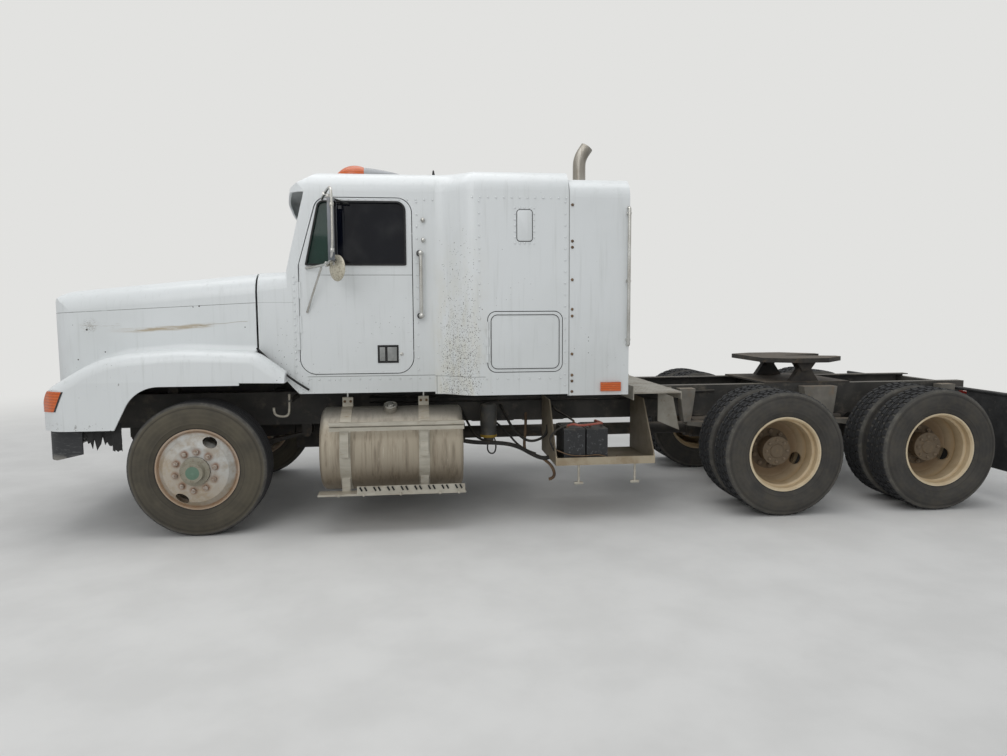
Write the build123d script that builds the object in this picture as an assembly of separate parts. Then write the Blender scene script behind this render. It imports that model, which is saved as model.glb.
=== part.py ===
from build123d import *
import math
import os

os.makedirs("parts", exist_ok=True)

# A conventional sleeper tractor unit. Lengths are in millimetres.
# X runs rearwards, Y to the vehicle's right and Z up from the ground.
# Stations along X are measured from the front axle while modelling, and the
# finished parts are moved so that the origin lies at mid length on the ground.

# Overall layout
front_overhang = 1180
front_axle_to_drive = 4487
tandem_spacing = 1321
rear_overhang = 792
frame_end = front_axle_to_drive + tandem_spacing + rear_overhang
overall_length = front_overhang + frame_end
seat_gap = 0.3
door_gap = 6

# Tyres and wheels
tyre_radius = 499
tyre_half_width = 140
tread_half_width = 104
rim_flange_radius = 298.5
rim_half_width = 117
rim_seat_radius = 287.7
rim_wall = 12
disc_wall = 12
wheel_outset = 168
hub_radius = 105
hub_flange_radius = 167
hub_flange_wall = 18
drum_radius = 205
front_wheel_y = 1020
dual_mount_y = 912
spindle_radius = 45
axle_end_radius = 55
bore_clearance = 0.1
hand_hole_long = 104
hand_hole_wide = 72
front_holes_at = 27
drive_holes_at = 112
axle_z = tyre_radius

# Front axle and steering
kingpin_y = 880
kingpin_radius = 22
boss_radius = 48
boss_height = 130
beam_width = 90
beam_height = 95
beam_drop = 70
fork_wall = 32
steering_arm = 180
tie_rod_radius = 20
tie_rod_z = axle_z - 130

# Chassis
rail_outer_y = 432
rail_height = 270
rail_top = 980
rail_wall = 9
rail_flange = 90
rail_front = -960
rail_bottom = rail_top - rail_height
leaf_reach = 560
crossmember_stations = (2350, 3350)
crossmember_half = 330

# Hood and fenders
hood_wall = 14
hood_rear = 413
hood_front = -1150
hood_rear_half = 950
hood_front_half = 840
hood_rear_top = 1930
hood_front_top = 1790
hood_nose_radius = 250
hood_flat_half = 560
hood_rake = 18
hood_base = 930
hood_top_radius = 150
fender_half = 1160
fender_inner = 1040
fender_front = -1102
fender_rear = 640
fender_low = 803
fender_crown = 1374
fender_band = 1145
fender_lean = 12
fender_edge_radius = 90
arch_front = -563
arch_top = 1112
arch_notch = 18
hood_pivot_x = -1090
hood_pivot_z = 845
hood_pin_radius = 15
hood_ear_y = 450
hood_ear_wall = 20
hood_crease_radius = 40
headlamp_inner = 560
headlamp_outer = 905
lamp_low = 943
lamp_high = 1086
lamp_proud = 3
lamp_face_inner = -1128
lamp_face_outer = -1082
lamp_back = -1010
lamp_sink = 22
grille_half = 430
grille_low = 985
grille_high = 1640
grille_bars = 11

# Cab
cab_wall = 50
cowl_front = 428
cowl_half = 950
cab_half = 1030
cab_rear = 1740
cab_floor = 1030
cab_corner_x = 728
cowl_foot_x = 690
cowl_foot_z = 1066
cowl_low = 1346
cowl_top = 1935
glass_base_x = 655
glass_base_z = 1950
glass_top_x = 790
roof_seam = 2482
roof_top = 2674
roof_wall = 30
roof_edge_radius = 150
roof_nose_radius = 130
visor_tip = 634
visor_half = 1008
visor_low = 2395
visor_end_low = 2522
visor_reach = 195
visor_top = 2660
visor_shoulder = 2668
visor_ridge_x = 866
visor_wall = 14
visor_lip = 2520
door_front = 742
door_rear = 1577
door_low = 1178
door_high = roof_seam - door_gap
belt_z = 1990
door_slant_x = 893
door_corner = 118
door_hinge_low = 1359
hinge_radius = 7
hinge_pin = 3
hinge_leaf = 20
hinge_knuckles = 5
window_low = 1986
window_high = 2449
window_front = 798
window_rear = 1530
glass_wall = 6
column_radius = 28
column_length = 380
column_lean = 38

# Sleeper and side extenders
sleeper_half = 1190
sleeper_wall = 45
flare_front = 1815
flare_rear = 1990
flare_radius = 185
sleeper_rear = 2735
sleeper_floor = 1012
luggage_front = 2131
luggage_rear = 2689
luggage_low = 1187
luggage_high = 1634
luggage_corner = 60
extender_rear = 3204
extender_wall = 25
extender_low = 1000
extender_high = 2626
extender_curve = 150

# Bumper
bumper_top = 785
bumper_low = 575
bumper_wall = 10
bumper_lip = 40
bumper_end_x = -804
bumper_half = 1080
bracket_top = 780

# Tanks, steps and boxes
tank_radius = 318
tank_y = 880
tank_z = 588
tank_front = 875
tank_rear = 1942
tank_edge = 40
strap_stations = (1065, 1648)
strap_width = 80
strap_wall = 5
battery_front = 2661
battery_rear = 3454
battery_low = 440
battery_out = 1100
battery_long = 168
deck_front = 3300
deck_rear = 3700
deck_half = 1000
deck_wall = 12
gusset_y = 640
stack_x = 3240
stack_y = 750
stack_radius = 63.5
stack_top = 3310
muffler_low = 1150
muffler_high = 2300
muffler_radius = 125
pipe_radius = 50
pipe_y = 497
pipe_z = 850

# Mirrors and lamps
mirror_x = 1020
mirror_out = 1290
mirror_low = 1970
mirror_high = 2440
marker_front = 2985
pod_stations = (-800, -400, 0, 400, 800)
pod_front = 1010
pod_split = 1225
pod_rear = 1555
pod_height = 74

# Fifth wheel
fifth_x = 5080
fifth_top = 1205
fifth_half = 457
fifth_wall = 40
kingpin_slot = 56
pivot_z = 1120
pivot_radius = 25


def box(x0, x1, y0, y1, z0, z1):
    """A block between two corners."""
    return Pos((x0 + x1) / 2, (y0 + y1) / 2, (z0 + z1) / 2) * Box(x1 - x0, y1 - y0, z1 - z0)


def rounded(corners):
    """A closed face from corners (u, v) or (u, v, radius), each rounded by its radius."""
    places = [Vector(c[0], c[1]) for c in corners]
    edges = []
    last = None
    first = None
    for i, corner in enumerate(corners):
        radius = corner[2] if len(corner) > 2 else 0
        here = places[i]
        if radius:
            a = (places[i - 1] - here).normalized()
            b = (places[(i + 1) % len(places)] - here).normalized()
            half = math.radians(a.get_angle(b)) / 2
            run = radius / math.tan(half)
            middle = here + (a + b).normalized() * (radius / math.sin(half) - radius)
            enter = here + a * run
            leave = here + b * run
            arc = ThreePointArc(enter, middle, leave)
        else:
            enter = leave = here
            arc = None
        if last is not None:
            edges.append(Line(last, enter))
        else:
            first = enter
        if arc is not None:
            edges.append(arc)
        last = leave
    edges.append(Line(last, first))
    return make_face(edges)


def mirrored(corners):
    """Right side plan corners followed by their left twins in reverse order."""
    return corners + [(x, -y, *r) for x, y, *r in reversed(corners)]


def side_slab(corners, y0, y1):
    """A side outline in X and Z, carried across from y0 to y1."""
    face = Plane(origin=(0, y1, 0), x_dir=(1, 0, 0), z_dir=(0, -1, 0)) * rounded(corners)
    return extrude(face, amount=y1 - y0)


def plan_slab(corners, z0, z1):
    """A plan outline in X and Y, carried up from z0 to z1."""
    return extrude(Pos(0, 0, z0) * rounded(corners), amount=z1 - z0)


def front_slab(corners, x0, x1):
    """A front view outline in Y and Z, carried rearwards from x0 to x1."""
    face = Plane(origin=(x0, 0, 0), x_dir=(0, 1, 0), z_dir=(1, 0, 0)) * rounded(corners)
    return extrude(face, amount=x1 - x0)


def arch_loft(low, radius, sections):
    """A tapering block with rounded upper side edges, through two sections of (x, half, top)."""
    faces = []
    for x, half, top in sections:
        corners = [(-half, low), (half, low), (half, top, radius), (-half, top, radius)]
        faces.append(Plane(origin=(x, 0, 0), x_dir=(0, 1, 0), z_dir=(1, 0, 0)) * rounded(corners))
    return loft(faces, ruled=True)


def rod_y(x, z, y0, y1, radius):
    """A round bar along Y."""
    return Pos(x, (y0 + y1) / 2, z) * Rot(90, 0, 0) * Cylinder(radius, y1 - y0)


def rod_x(x0, x1, y, z, radius):
    """A round bar along X."""
    return Pos((x0 + x1) / 2, y, z) * Rot(0, 90, 0) * Cylinder(radius, x1 - x0)


def rod_z(x, y, z0, z1, radius):
    """A round bar along Z."""
    return Pos(x, y, (z0 + z1) / 2) * Cylinder(radius, z1 - z0)


def tube(points, radii, radius):
    """A round bar along straight runs with rounded corners."""
    path = FilletPolyline(*points, radius=radii)
    return sweep(Plane(origin=path @ 0, z_dir=path % 0) * Circle(radius), path=path)


def other_side(shape):
    """The same shape on the other side of the vehicle."""
    return mirror(shape, about=Plane.XZ)


def both(shape):
    """A left shape with its right twin."""
    return [shape, other_side(shape)]


def ring(profile):
    """A ring about the Y axis from (radius, y) corners."""
    return revolve(make_face(Polyline(*profile, close=True)), axis=Axis.Y)


def tyre():
    """A tyre centred on the origin, its axis along Y."""
    bead = rim_half_width - 17
    shoulder_r = tyre_radius - 21
    line = Polyline((tyre_radius, -tread_half_width), (tyre_radius, tread_half_width))
    edges = [line]
    for side in (1, -1):
        a = (tyre_radius, side * tread_half_width)
        b = (shoulder_r, side * (tread_half_width + 18))
        c = (0.5 * (tyre_radius + rim_seat_radius), side * tyre_half_width)
        d = (rim_flange_radius + 3, side * rim_half_width)
        e = (rim_flange_radius + 3, side * (bead + 2))
        f = (rim_seat_radius + seat_gap, side * bead)
        edges += [Line(a, b), ThreePointArc(b, c, d), Line(d, e), Line(e, f)]
    low = rim_seat_radius + seat_gap
    edges.append(Line((low, bead), (low, -bead)))
    return revolve(make_face(edges), axis=Axis.Y)


def rim():
    """A rim barrel centred on the origin, its axis along Y."""
    flange = rim_half_width
    seat = flange - 13
    well = 60
    drop = rim_seat_radius - 16
    outer = [(rim_flange_radius, flange), (rim_flange_radius, flange - 9), (rim_seat_radius, seat),
             (rim_seat_radius, well), (drop, well - 15)]
    inner = [(r - rim_wall, y) for r, y in outer[2:]]
    inner = [(rim_flange_radius - rim_wall, flange)] + inner
    profile = outer + [(r, -y) for r, y in reversed(outer)] + [(r, -y) for r, y in inner] + inner[::-1]
    return ring(profile)


def disc(reach, dish, holes_at):
    """A wheel disc from its mounting face at y = 0 to the barrel, dish long, with two oval hand holes."""
    barrel = rim_seat_radius - rim_wall / 2
    w = disc_wall
    face = [(hub_radius + 2, 0), (hub_flange_radius + 8, 0), (0.82 * barrel, 0.2 * dish), (barrel, dish)]
    back = [(r, y + w) for r, y in face]
    back[-1] = (barrel, dish + 2 * w)
    shape = ring(face + back[::-1])
    for angle in (holes_at, holes_at + 180):
        oval = extrude(Ellipse(hand_hole_long / 2, hand_hole_wide / 2), amount=4 * dish, both=True)
        shape -= Rot(0, angle, 0) * Pos(0, 0, reach) * Rot(90, 0, 0) * oval
    return shape


def front_wheel():
    """A left front wheel centred on its rim, outboard towards -Y."""
    out = -wheel_outset
    plate = Pos(0, out, 0) * disc(0.5 * (hub_flange_radius + rim_seat_radius), 70, front_holes_at)
    hub = ring([(spindle_radius + bore_clearance, 42), (hub_radius - 20, 42), (hub_radius - 5, 20),
                (drum_radius - 14, 20), (drum_radius - 14, 100), (drum_radius, 100), (drum_radius, -60),
                (hub_flange_radius, out + disc_wall + hub_flange_wall), (hub_flange_radius,
                    out + disc_wall),
                (hub_radius, out + disc_wall), (hub_radius, out - 18), (75, out - 22), (70, out - 70),
                (0, out - 74), (0, out - 12), (spindle_radius + bore_clearance, out - 12)])
    return rim() + plate + hub


def dual_wheels():
    """A left pair of drive wheels centred on their mounting face, outboard towards -Y."""
    reach = 0.5 * (hub_flange_radius + rim_seat_radius)
    outer = Pos(0, -wheel_outset, 0) * rim() + Rot(180, 0, 0) * disc(reach, 80, 180 - drive_holes_at)
    inner = Pos(0, wheel_outset, 0) * rim() + disc(reach, 80, drive_holes_at)
    hub = ring([(axle_end_radius + bore_clearance, 150), (hub_radius, 150), (hub_radius, 60),
                (drum_radius - 14, 60), (drum_radius - 14, 190), (drum_radius, 190), (drum_radius, 34),
                (hub_flange_radius, disc_wall), (hub_flange_radius, -disc_wall), (hub_radius, -disc_wall),
                (hub_radius, -118), (hub_radius + 12, -118), (hub_radius + 12, -136), (60, -140), (52,
                    -150),
                (0, -150), (0, -100), (axle_end_radius + bore_clearance, -100)])
    return outer + inner + hub


def wheel_sets():
    """All six wheel positions as node name and solids."""
    nodes = {}
    for side, sign in (("left", -1), ("right", 1)):
        place = Pos(0, -front_wheel_y, axle_z)
        parts = {"front_wheel": [place * front_wheel()], "front_tyre": [place * tyre()]}
        for name, shapes in parts.items():
            nodes[f"{name}_{side}"] = shapes if sign < 0 else [other_side(s) for s in shapes]
        for number in (1, 2):
            x = front_axle_to_drive + (number - 1) * tandem_spacing
            place = Pos(x, -dual_mount_y, axle_z)
            tyres = [place * Pos(0, s * wheel_outset, 0) * tyre() for s in (-1, 1)]
            parts = {"drive_wheel": [place * dual_wheels()], "drive_tyres": tyres}
            for name, shapes in parts.items():
                nodes[f"{name}_{number}_{side}"] = shapes if sign < 0 else [other_side(s) for s in shapes]
    return nodes


def frame_rails():
    """Two channel rails, their flanges inwards."""
    y = -rail_outer_y
    web = box(rail_front, frame_end, y, y + rail_wall, rail_bottom, rail_top)
    low = box(rail_front, frame_end, y + rail_wall, y + rail_flange, rail_bottom, rail_bottom + rail_wall)
    high = box(rail_front, frame_end, y + rail_wall, y + rail_flange, rail_top - rail_wall, rail_top)
    return both(web + low + high)


def crossmembers():
    """Channel crossmembers between the webs, and the feet of the cab and the sleeper."""
    half = rail_outer_y - rail_wall
    low = rail_bottom + rail_wall
    high = rail_top - rail_wall
    tandem = front_axle_to_drive + tandem_spacing / 2
    shapes = [box(rail_front, rail_front + 90, -half, half, low, low + 32)]
    for x in crossmember_stations + (tandem - crossmember_half, tandem + crossmember_half, frame_end - 70):
        web = box(x, x + 8, -half, half, low + 20, high - 20)
        feet = box(x, x + 60, -half, half, low + 20, low + 28) + box(x, x + 60, -half, half, high - 28,
                                                                     high - 20)
        shapes.append(web + feet)
    for x, floor in ((850, cab_floor), (1550, cab_floor), (2500, sleeper_floor)):
        foot = box(x - 60, x + 60, -rail_outer_y + 5, -rail_outer_y + rail_flange - 5, rail_top,
                   floor - seat_gap)
        shapes += both(foot)
    return shapes


def front_axle():
    """The I-beam, its ends, and the two leaf springs that carry the frame."""
    end_z = axle_z
    mid_z = axle_z - beam_drop
    h = beam_height / 2
    rise = 560
    flat = 420
    top = [(-kingpin_y, end_z + h), (-rise - 60, end_z + h), (-flat, mid_z + h), (flat, mid_z + h),
           (rise + 60, end_z + h), (kingpin_y, end_z + h)]
    low = [(kingpin_y, end_z - h), (rise, end_z - h), (flat - 40, mid_z - h), (-flat + 40, mid_z - h),
           (-rise, end_z - h), (-kingpin_y, end_z - h)]
    beam = front_slab(top + low, -beam_width / 2, beam_width / 2)
    waist = 26
    groove = [(y, z - waist) for y, z in top[1:-1]] + [(y, z + waist) for y, z in low[1:-1]]
    for x0 in (-beam_width / 2 - 1, 14):
        beam -= front_slab(groove, x0, x0 + beam_width / 2 - 13)
    for sign in (-1, 1):
        beam += rod_z(0, sign * kingpin_y, axle_z - boss_height / 2, axle_z + boss_height / 2, boss_radius)
    for sign in (-1, 1):
        beam -= rod_z(0, sign * kingpin_y, axle_z - boss_height, axle_z + boss_height,
                      kingpin_radius + bore_clearance)
    spring_y = rail_outer_y - rail_flange / 2
    spring_z = mid_z + h
    for sign in (-1, 1):
        y0 = sign * spring_y - 45
        y1 = sign * spring_y + 45
        pack = side_slab([(-120, spring_z), (120, spring_z), (300, spring_z + 46), (660, spring_z + 150),
                          (660, spring_z + 166), (300, spring_z + 92), (90, spring_z + 78), (-90,
                              spring_z + 78),
                          (-300, spring_z + 92), (-660, spring_z + 166), (-660, spring_z + 150),
                          (-300, spring_z + 46)], y0, y1)
        for x in (-680, 680):
            pack += rod_y(x, spring_z + 158, y0, y1, 32)
            pack += box(x - 40, x + 40, y0, y1, spring_z + 158, rail_bottom)
        for y in (y0 - 14, y1):
            pack += box(-75, 75, y, y + 14, spring_z - 2, spring_z + 96)
        beam += pack + box(-85, 85, y0 - 14, y1 + 14, spring_z + 78, spring_z + 100)
    return [beam]


def knuckle():
    """The left steering knuckle: fork, kingpin, spindle and tie rod arm."""
    half = boss_height / 2 + 2
    y = -kingpin_y
    fork_out = y - boss_radius - 12
    plate = box(-62, 62, fork_out - 30, fork_out, axle_z - half - fork_wall, axle_z + half + fork_wall)
    shape = plate
    for z0 in (axle_z - half - fork_wall, axle_z + half):
        shape += box(-42, 42, fork_out, y, z0, z0 + fork_wall)
        shape += rod_z(0, y, z0, z0 + fork_wall, 42)
    shape += rod_z(0, y, axle_z - half - fork_wall, axle_z + half + fork_wall, kingpin_radius)
    spindle_end = -front_wheel_y - wheel_outset - 8
    shape += rod_y(0, axle_z, spindle_end, fork_out - 10, spindle_radius)
    z0 = axle_z - half - fork_wall
    arm = box(30, steering_arm, y - 26, y + 26, z0, z0 + fork_wall)
    arm += rod_z(steering_arm, y, z0, z0 + fork_wall, 26)
    shape += arm
    shape += rod_z(steering_arm, y, tie_rod_z - 20, z0, 11)
    return shape


def tie_rod():
    """The cross tube between the two steering arms, an eye at each end."""
    shape = rod_y(steering_arm, tie_rod_z, -kingpin_y + 34, kingpin_y - 34, tie_rod_radius)
    for sign in (-1, 1):
        shape += rod_z(steering_arm, sign * kingpin_y, tie_rod_z - 22, tie_rod_z + 22, 36)
    for sign in (-1, 1):
        shape -= rod_z(steering_arm, sign * kingpin_y, tie_rod_z - 60, tie_rod_z + 60, 11 + bore_clearance)
    return shape


def drive_axles():
    """Two drive axle housings with their round differential covers."""
    shapes = []
    for number in (0, 1):
        x = front_axle_to_drive + number * tandem_spacing
        end = dual_mount_y + 96
        shape = rod_y(x, axle_z, -end, end, axle_end_radius)
        shape += box(x - 75, x + 75, -640, 640, axle_z - 75, axle_z + 75)
        shape += rod_y(x, axle_z, -95, 95, 205)
        shape += rod_x(x - 330, x - 120, 0, axle_z + 40, 95)
        shapes.append(shape)
    return shapes


def rear_suspension():
    """Leaf packs over each drive axle, hung from hangers on the rails."""
    shapes = []
    top = axle_z + 75
    for sign in (-1, 1):
        yc = sign * (rail_outer_y + 55)
        y0 = yc - 42
        y1 = yc + 42
        for number in (0, 1):
            x = front_axle_to_drive + number * tandem_spacing
            end = leaf_reach
            leaf = side_slab([(x - 110, top), (x + 110, top), (x + end, top + 66), (x + end, top + 96),
                              (x + 150, top + 84), (x - 150, top + 84), (x - end, top + 96), (x - end,
                                  top + 66)], y0, y1)
            leaf += box(x - 95, x + 95, y0 - 12, y1 + 12, top + 84, top + 110)
            shapes.append(leaf)
        for x, wide in ((front_axle_to_drive - leaf_reach, 80),
                        (front_axle_to_drive + tandem_spacing / 2, 250),
                        (front_axle_to_drive + tandem_spacing + leaf_reach, 80)):
            hang_y0 = min(sign * rail_outer_y, sign * (rail_outer_y + 104))
            w = wide / 2
            hanger = side_slab([(x - w, rail_bottom + 20), (x - w - 30, rail_top - 20),
                                (x + w + 30, rail_top - 20),
                                (x + w, rail_bottom + 20), (x + w - 12, top + 96), (x - w + 12, top + 96)],
                               hang_y0, hang_y0 + 104)
            shapes.append(hanger)
    return shapes


def driveshafts():
    """Tubes from the gearbox to the first axle and on to the second."""
    x1 = front_axle_to_drive - 330
    x2 = front_axle_to_drive + tandem_spacing - 330
    return [rod_x(1960, x1, 0, axle_z + 40, 55) + rod_x(1960, 2020, 0, axle_z + 40, 85)
            + rod_x(x1 - 60, x1, 0, axle_z + 40, 80),
            rod_x(front_axle_to_drive + 205, x2, 0, axle_z + 40, 50) + rod_x(x2 - 60, x2, 0, axle_z + 40,
                80)]


def engine():
    """Engine and gearbox as plain masses, and the radiator behind the grille."""
    block = box(-760, 400, -330, 330, rail_top + 10, 1520) + box(-760, 560, -300, 300, 600, rail_top + 10)
    gearbox = rod_x(560, 1960, 0, axle_z + 150, 190) + box(560, 1000, -240, 240, 480, 900)
    radiator = box(-945, -845, -430, 430, rail_top + 10, 1560) + box(-945, -845, -320, 320, 765,
                                                                     rail_top + 10)
    mounts = box(-845, -760, -200, 200, 770, 850)
    for sign in (-1, 1):
        y = sign * (rail_outer_y - rail_flange / 2)
        mounts += box(-420, -340, min(sign * 300, y + sign * 30), max(sign * 300, y + sign * 30), rail_top,
                      rail_top + 70)
    return [block + gearbox + mounts + radiator]


def bumper_plan(inset):
    """The bumper's plan outline, moved in by inset."""
    nose = -front_overhang + inset
    half = bumper_half - inset
    rear = bumper_end_x + (1 if inset else 0)
    return mirrored([(nose, 640, 500), (nose + 130, half - 50, 170), (rear, half)])


def front_bumper():
    """A pressed centre with ends that wrap round the corners, on its frame brackets."""
    w = bumper_wall
    front = -front_overhang
    shell = plan_slab(bumper_plan(0), bumper_low, bumper_top) - plan_slab(bumper_plan(w), bumper_low - 1,
        bumper_top + 1)
    for z0 in (bumper_low, bumper_top - w):
        shell += plan_slab(bumper_plan(0), z0, z0 + w) - plan_slab(bumper_plan(bumper_lip), z0 - 1,
                                                                   z0 + w + 1)
    rise = side_slab([(front - 1, bumper_low - 1), (-1010, bumper_low - 1), (bumper_end_x, 623),
                      (bumper_end_x + 2, 623),
                      (bumper_end_x + 2, bumper_low - 40), (front - 1,
                                                            bumper_low - 40)], -bumper_half - 1, bumper_half + 1)
    shell -= rise
    for sign in (-1, 1):
        y = sign * (rail_outer_y - 40)
        shell += box(front + w - 1, rail_front, y - 40, y + 40, rail_bottom, bracket_top)
        lug = side_slab([(hood_pivot_x - 22, bracket_top - 1), (hood_pivot_x + 90, bracket_top - 1),
                         (hood_pivot_x + 22, hood_pivot_z + 10), (hood_pivot_x - 22,
                                                                  hood_pivot_z + 10)], y - 38, y + 38)
        shell += lug + rod_y(hood_pivot_x, hood_pivot_z, y - 38, y + 38, 26)
        pin_end = sign * (hood_ear_y + hood_ear_wall + 6)
        shell += rod_y(hood_pivot_x, hood_pivot_z, min(y, pin_end), max(y, pin_end), hood_pin_radius)
    return [shell]


def hood_plan(inset):
    """The hood's plan outline, moved in by inset."""
    front = hood_front_half - inset
    rear = hood_rear_half - inset
    nose = hood_front + inset
    return mirrored([(nose, hood_flat_half, 600), (nose + 100, front, 170 - inset), (hood_rear, rear)])


def hood_side_outline(inset):
    """The hood's side outline, moved in by inset."""
    low = hood_base - 1 if inset else hood_base
    return [(hood_front + inset, low),
            (hood_front + inset + hood_rake, hood_front_top - inset, hood_nose_radius - inset),
            (hood_rear, hood_rear_top - inset), (hood_rear, low)]


def hood_body(inset):
    """The hood's central body as a solid, its shoulders rounded along the taper, moved in by inset."""
    side = side_slab(hood_side_outline(inset), -hood_rear_half, hood_rear_half)
    plan = plan_slab(hood_plan(inset), hood_base - 1, hood_rear_top)
    rise = (hood_rear_top - hood_front_top) / (hood_rear - hood_front - hood_rake - inset)
    spread = (hood_rear_half - hood_front_half) / (hood_rear - hood_front - 100 - inset)
    sections = []
    for x in (hood_front - 20, hood_rear + 5):
        back = hood_rear - x
        sections.append((x, hood_rear_half - inset - spread * back, hood_rear_top - inset - rise * back))
    across = arch_loft(hood_base - 5, hood_top_radius - inset, sections)
    return side & plan & across


def nose_apron():
    """The panel below the grille that joins the fenders, notched round the hood's pivots."""
    low = fender_low + 2
    wall = plan_slab(hood_plan(0), low, hood_base + 2) - plan_slab(hood_plan(hood_wall), low - 1,
                                                                   hood_base + 3)
    wall &= box(hood_front - 5, hood_front + 120, -hood_front_half + 105, hood_front_half - 105, low,
                hood_base + 2)
    for sign in (-1, 1):
        y0 = min(sign * 335, sign * (hood_ear_y + hood_ear_wall + 20))
        y1 = max(sign * 335, sign * (hood_ear_y + hood_ear_wall + 20))
        wall -= box(hood_front - 5, hood_front + 120, y0, y1, low - 1, hood_base - 30)
    return wall


def fender_outline(inset):
    """The fender's side outline from its front foot over the crown to its tail."""
    low = fender_low - 1 if inset else fender_low
    return [(fender_front + 12 + inset, low), (fender_front - 6 + inset, 915, 130),
            (fender_front + 90 + 0.8 * inset, 1108 - 0.5 * inset, 220), (-640, 1332 - inset, 850),
            (-100, fender_crown - inset, 2000), (440, fender_crown - 22 - inset, 190),
            (fender_rear - inset, 1203 - inset), (fender_rear - inset, low)]


def arch_outline():
    """The open wheel arch below the fender."""
    return [(arch_front - 10, fender_low - 40), (arch_front + 165, arch_top, 260), (320, arch_top),
            (320, arch_top + arch_notch), (fender_rear + 40, arch_top + arch_notch - 6), (fender_rear + 40,
                fender_low - 40)]


def fender(inset):
    """A left fender as a solid, its outer edge rounded, or cut flat on the inside, moved in by inset."""
    y_out = -fender_half + inset
    y_in = -hood_front_half + 120
    lean = front_slab([(y_out, fender_low - 5), (y_in, fender_low - 5), (y_in, fender_crown + 20),
                       (y_out + fender_lean, fender_crown + 20), (y_out,
                                                                  fender_band)], -1200, fender_rear + 10)
    body = side_slab(fender_outline(inset), y_out - 5, y_in) & lean
    rim_edges = body.edges().filter_by(lambda e: e.center().Y < y_out
                                       + fender_lean and e.center().Z > fender_band + 12
                                       and not abs(e.tangent_at(0.5).Z) > 0.99)
    body = chamfer(rim_edges, 0.7 * fender_edge_radius) if inset > 0 else fillet(rim_edges,
        fender_edge_radius - inset)
    plan = plan_slab([(fender_front - 20, y_in), (fender_front - 8 + inset, -880),
                      (fender_front + 32 + inset, -1045 + inset / 2, 120), (-945 + inset, y_out, 200),
                      (fender_rear, y_out), (fender_rear, y_in)], fender_low - 1, 1420)
    return body & plan


def cab_side(inset):
    """The cab's side outline behind the windscreen pillars, moved in by inset."""
    low = cab_floor + inset
    top = roof_seam + (1 if inset else 0)
    return [(cab_corner_x + inset, low), (cowl_foot_x + inset, cowl_foot_z),
            (glass_base_x + inset, glass_base_z - 60),
            (glass_base_x + inset, glass_base_z, 40), (glass_top_x + inset, top), (cab_rear - inset, top),
            (cab_rear - inset, low)]


def cowl_side(inset):
    """The cowl's side outline ahead of the pillars, moved in by inset."""
    rear = glass_base_x + 60 + inset
    return [(cowl_front + inset, cowl_low + 0.4 * inset), (cowl_front + inset, cowl_top - inset),
            (rear, glass_base_z - 8 - inset), (rear, cowl_foot_z + 60), (cowl_foot_x + inset, cowl_foot_z)]


def hood():
    """The one-piece tilt hood with its fenders, open below and behind."""
    shell = hood_body(0)
    for shape in both(fender(0)):
        shell += shape
    creases = [e for e in shell.edges()
               if hood_front_half - 30 < abs(e.center().Y) < hood_rear_half + 3 and e.center().X < hood_rear - 1
               and hood_base + 60 < e.center().Z < fender_crown + 2 and abs(e.tangent_at(0.5).Y) < 0.5
               and e.length > 20]
    shell = fillet(creases, hood_crease_radius)
    hollow = hood_body(hood_wall)
    for shape in both(fender(hood_wall)):
        hollow += shape
    shell -= hollow
    shell -= box(hood_front - 60, -600, -hood_front_half + 40, hood_front_half - 40, fender_low - 60,
                 hood_base)
    shell += nose_apron()
    for shape in both(side_slab(arch_outline(), -1400, -400)):
        shell -= shape
    behind = side_slab([(hood_rear, fender_low - 60), (fender_rear + 50, fender_low - 60),
                        (fender_rear + 50, 1700),
                        (hood_rear, 1700)], -fender_inner, fender_inner)
    shell -= behind
    shell -= box(hood_front - 60, hood_front + 90, -grille_half, grille_half, grille_low, grille_high)
    for shape in both(headlamp_cut(0)) + both(corner_lamp_cut(0)):
        shell -= shape
    for sign in (-1, 1):
        y0 = min(sign * hood_ear_y, sign * (hood_ear_y + hood_ear_wall))
        y1 = y0 + hood_ear_wall
        ear = side_slab([(hood_front + 8, 1000), (hood_front + 60, 1000), (hood_pivot_x + 28, hood_pivot_z),
                         (hood_pivot_x - 28, hood_pivot_z), (hood_front + 8, hood_base + 10)], y0, y1)
        ear += rod_y(hood_pivot_x, hood_pivot_z, y0, y1, 28)
        shell += ear - rod_y(hood_pivot_x, hood_pivot_z, y0 - 5, y1 + 5, hood_pin_radius + bore_clearance)
    return [shell]


def headlamp_cut(inset):
    """The left headlamp's place in the fender's front, moved in by inset."""
    return box(-1200, -960, -headlamp_outer + inset, -headlamp_inner - inset, lamp_low + inset,
               lamp_high - inset)


def corner_lamp_cut(inset):
    """The left corner lamp's place, a leaning block round the fender's front corner."""
    lean = [(-1180 + inset, lamp_low - 14 + inset), (-945 - inset, lamp_low + inset),
            (-880 - inset, lamp_high - inset),
            (-1180 + inset, lamp_high + 10 - inset)]
    return side_slab(lean, -fender_half - 20, -headlamp_outer - 8 - inset)


def grille():
    """A surround with level bars, set in the hood's nose."""
    front = hood_front + 2
    gap = seat_gap
    outer = box(front, front + 30, -grille_half + gap, grille_half - gap, grille_low + gap,
                grille_high - gap)
    rim_width = 32
    shape = outer - box(front - 1, front + 31, -grille_half + rim_width, grille_half - rim_width,
                        grille_low + rim_width, grille_high - rim_width)
    step = (grille_high - grille_low - 2 * rim_width) / (grille_bars + 1)
    for i in range(grille_bars):
        z = grille_low + rim_width + step * (i + 1)
        shape += box(front + 6, front + 24, -grille_half + rim_width, grille_half - rim_width, z - 5, z + 5)
    for y in (-150, 150):
        shape += box(front + 12, front + 24, y - 6, y + 6, grille_low + rim_width, grille_high - rim_width)
    return [shape]


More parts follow.
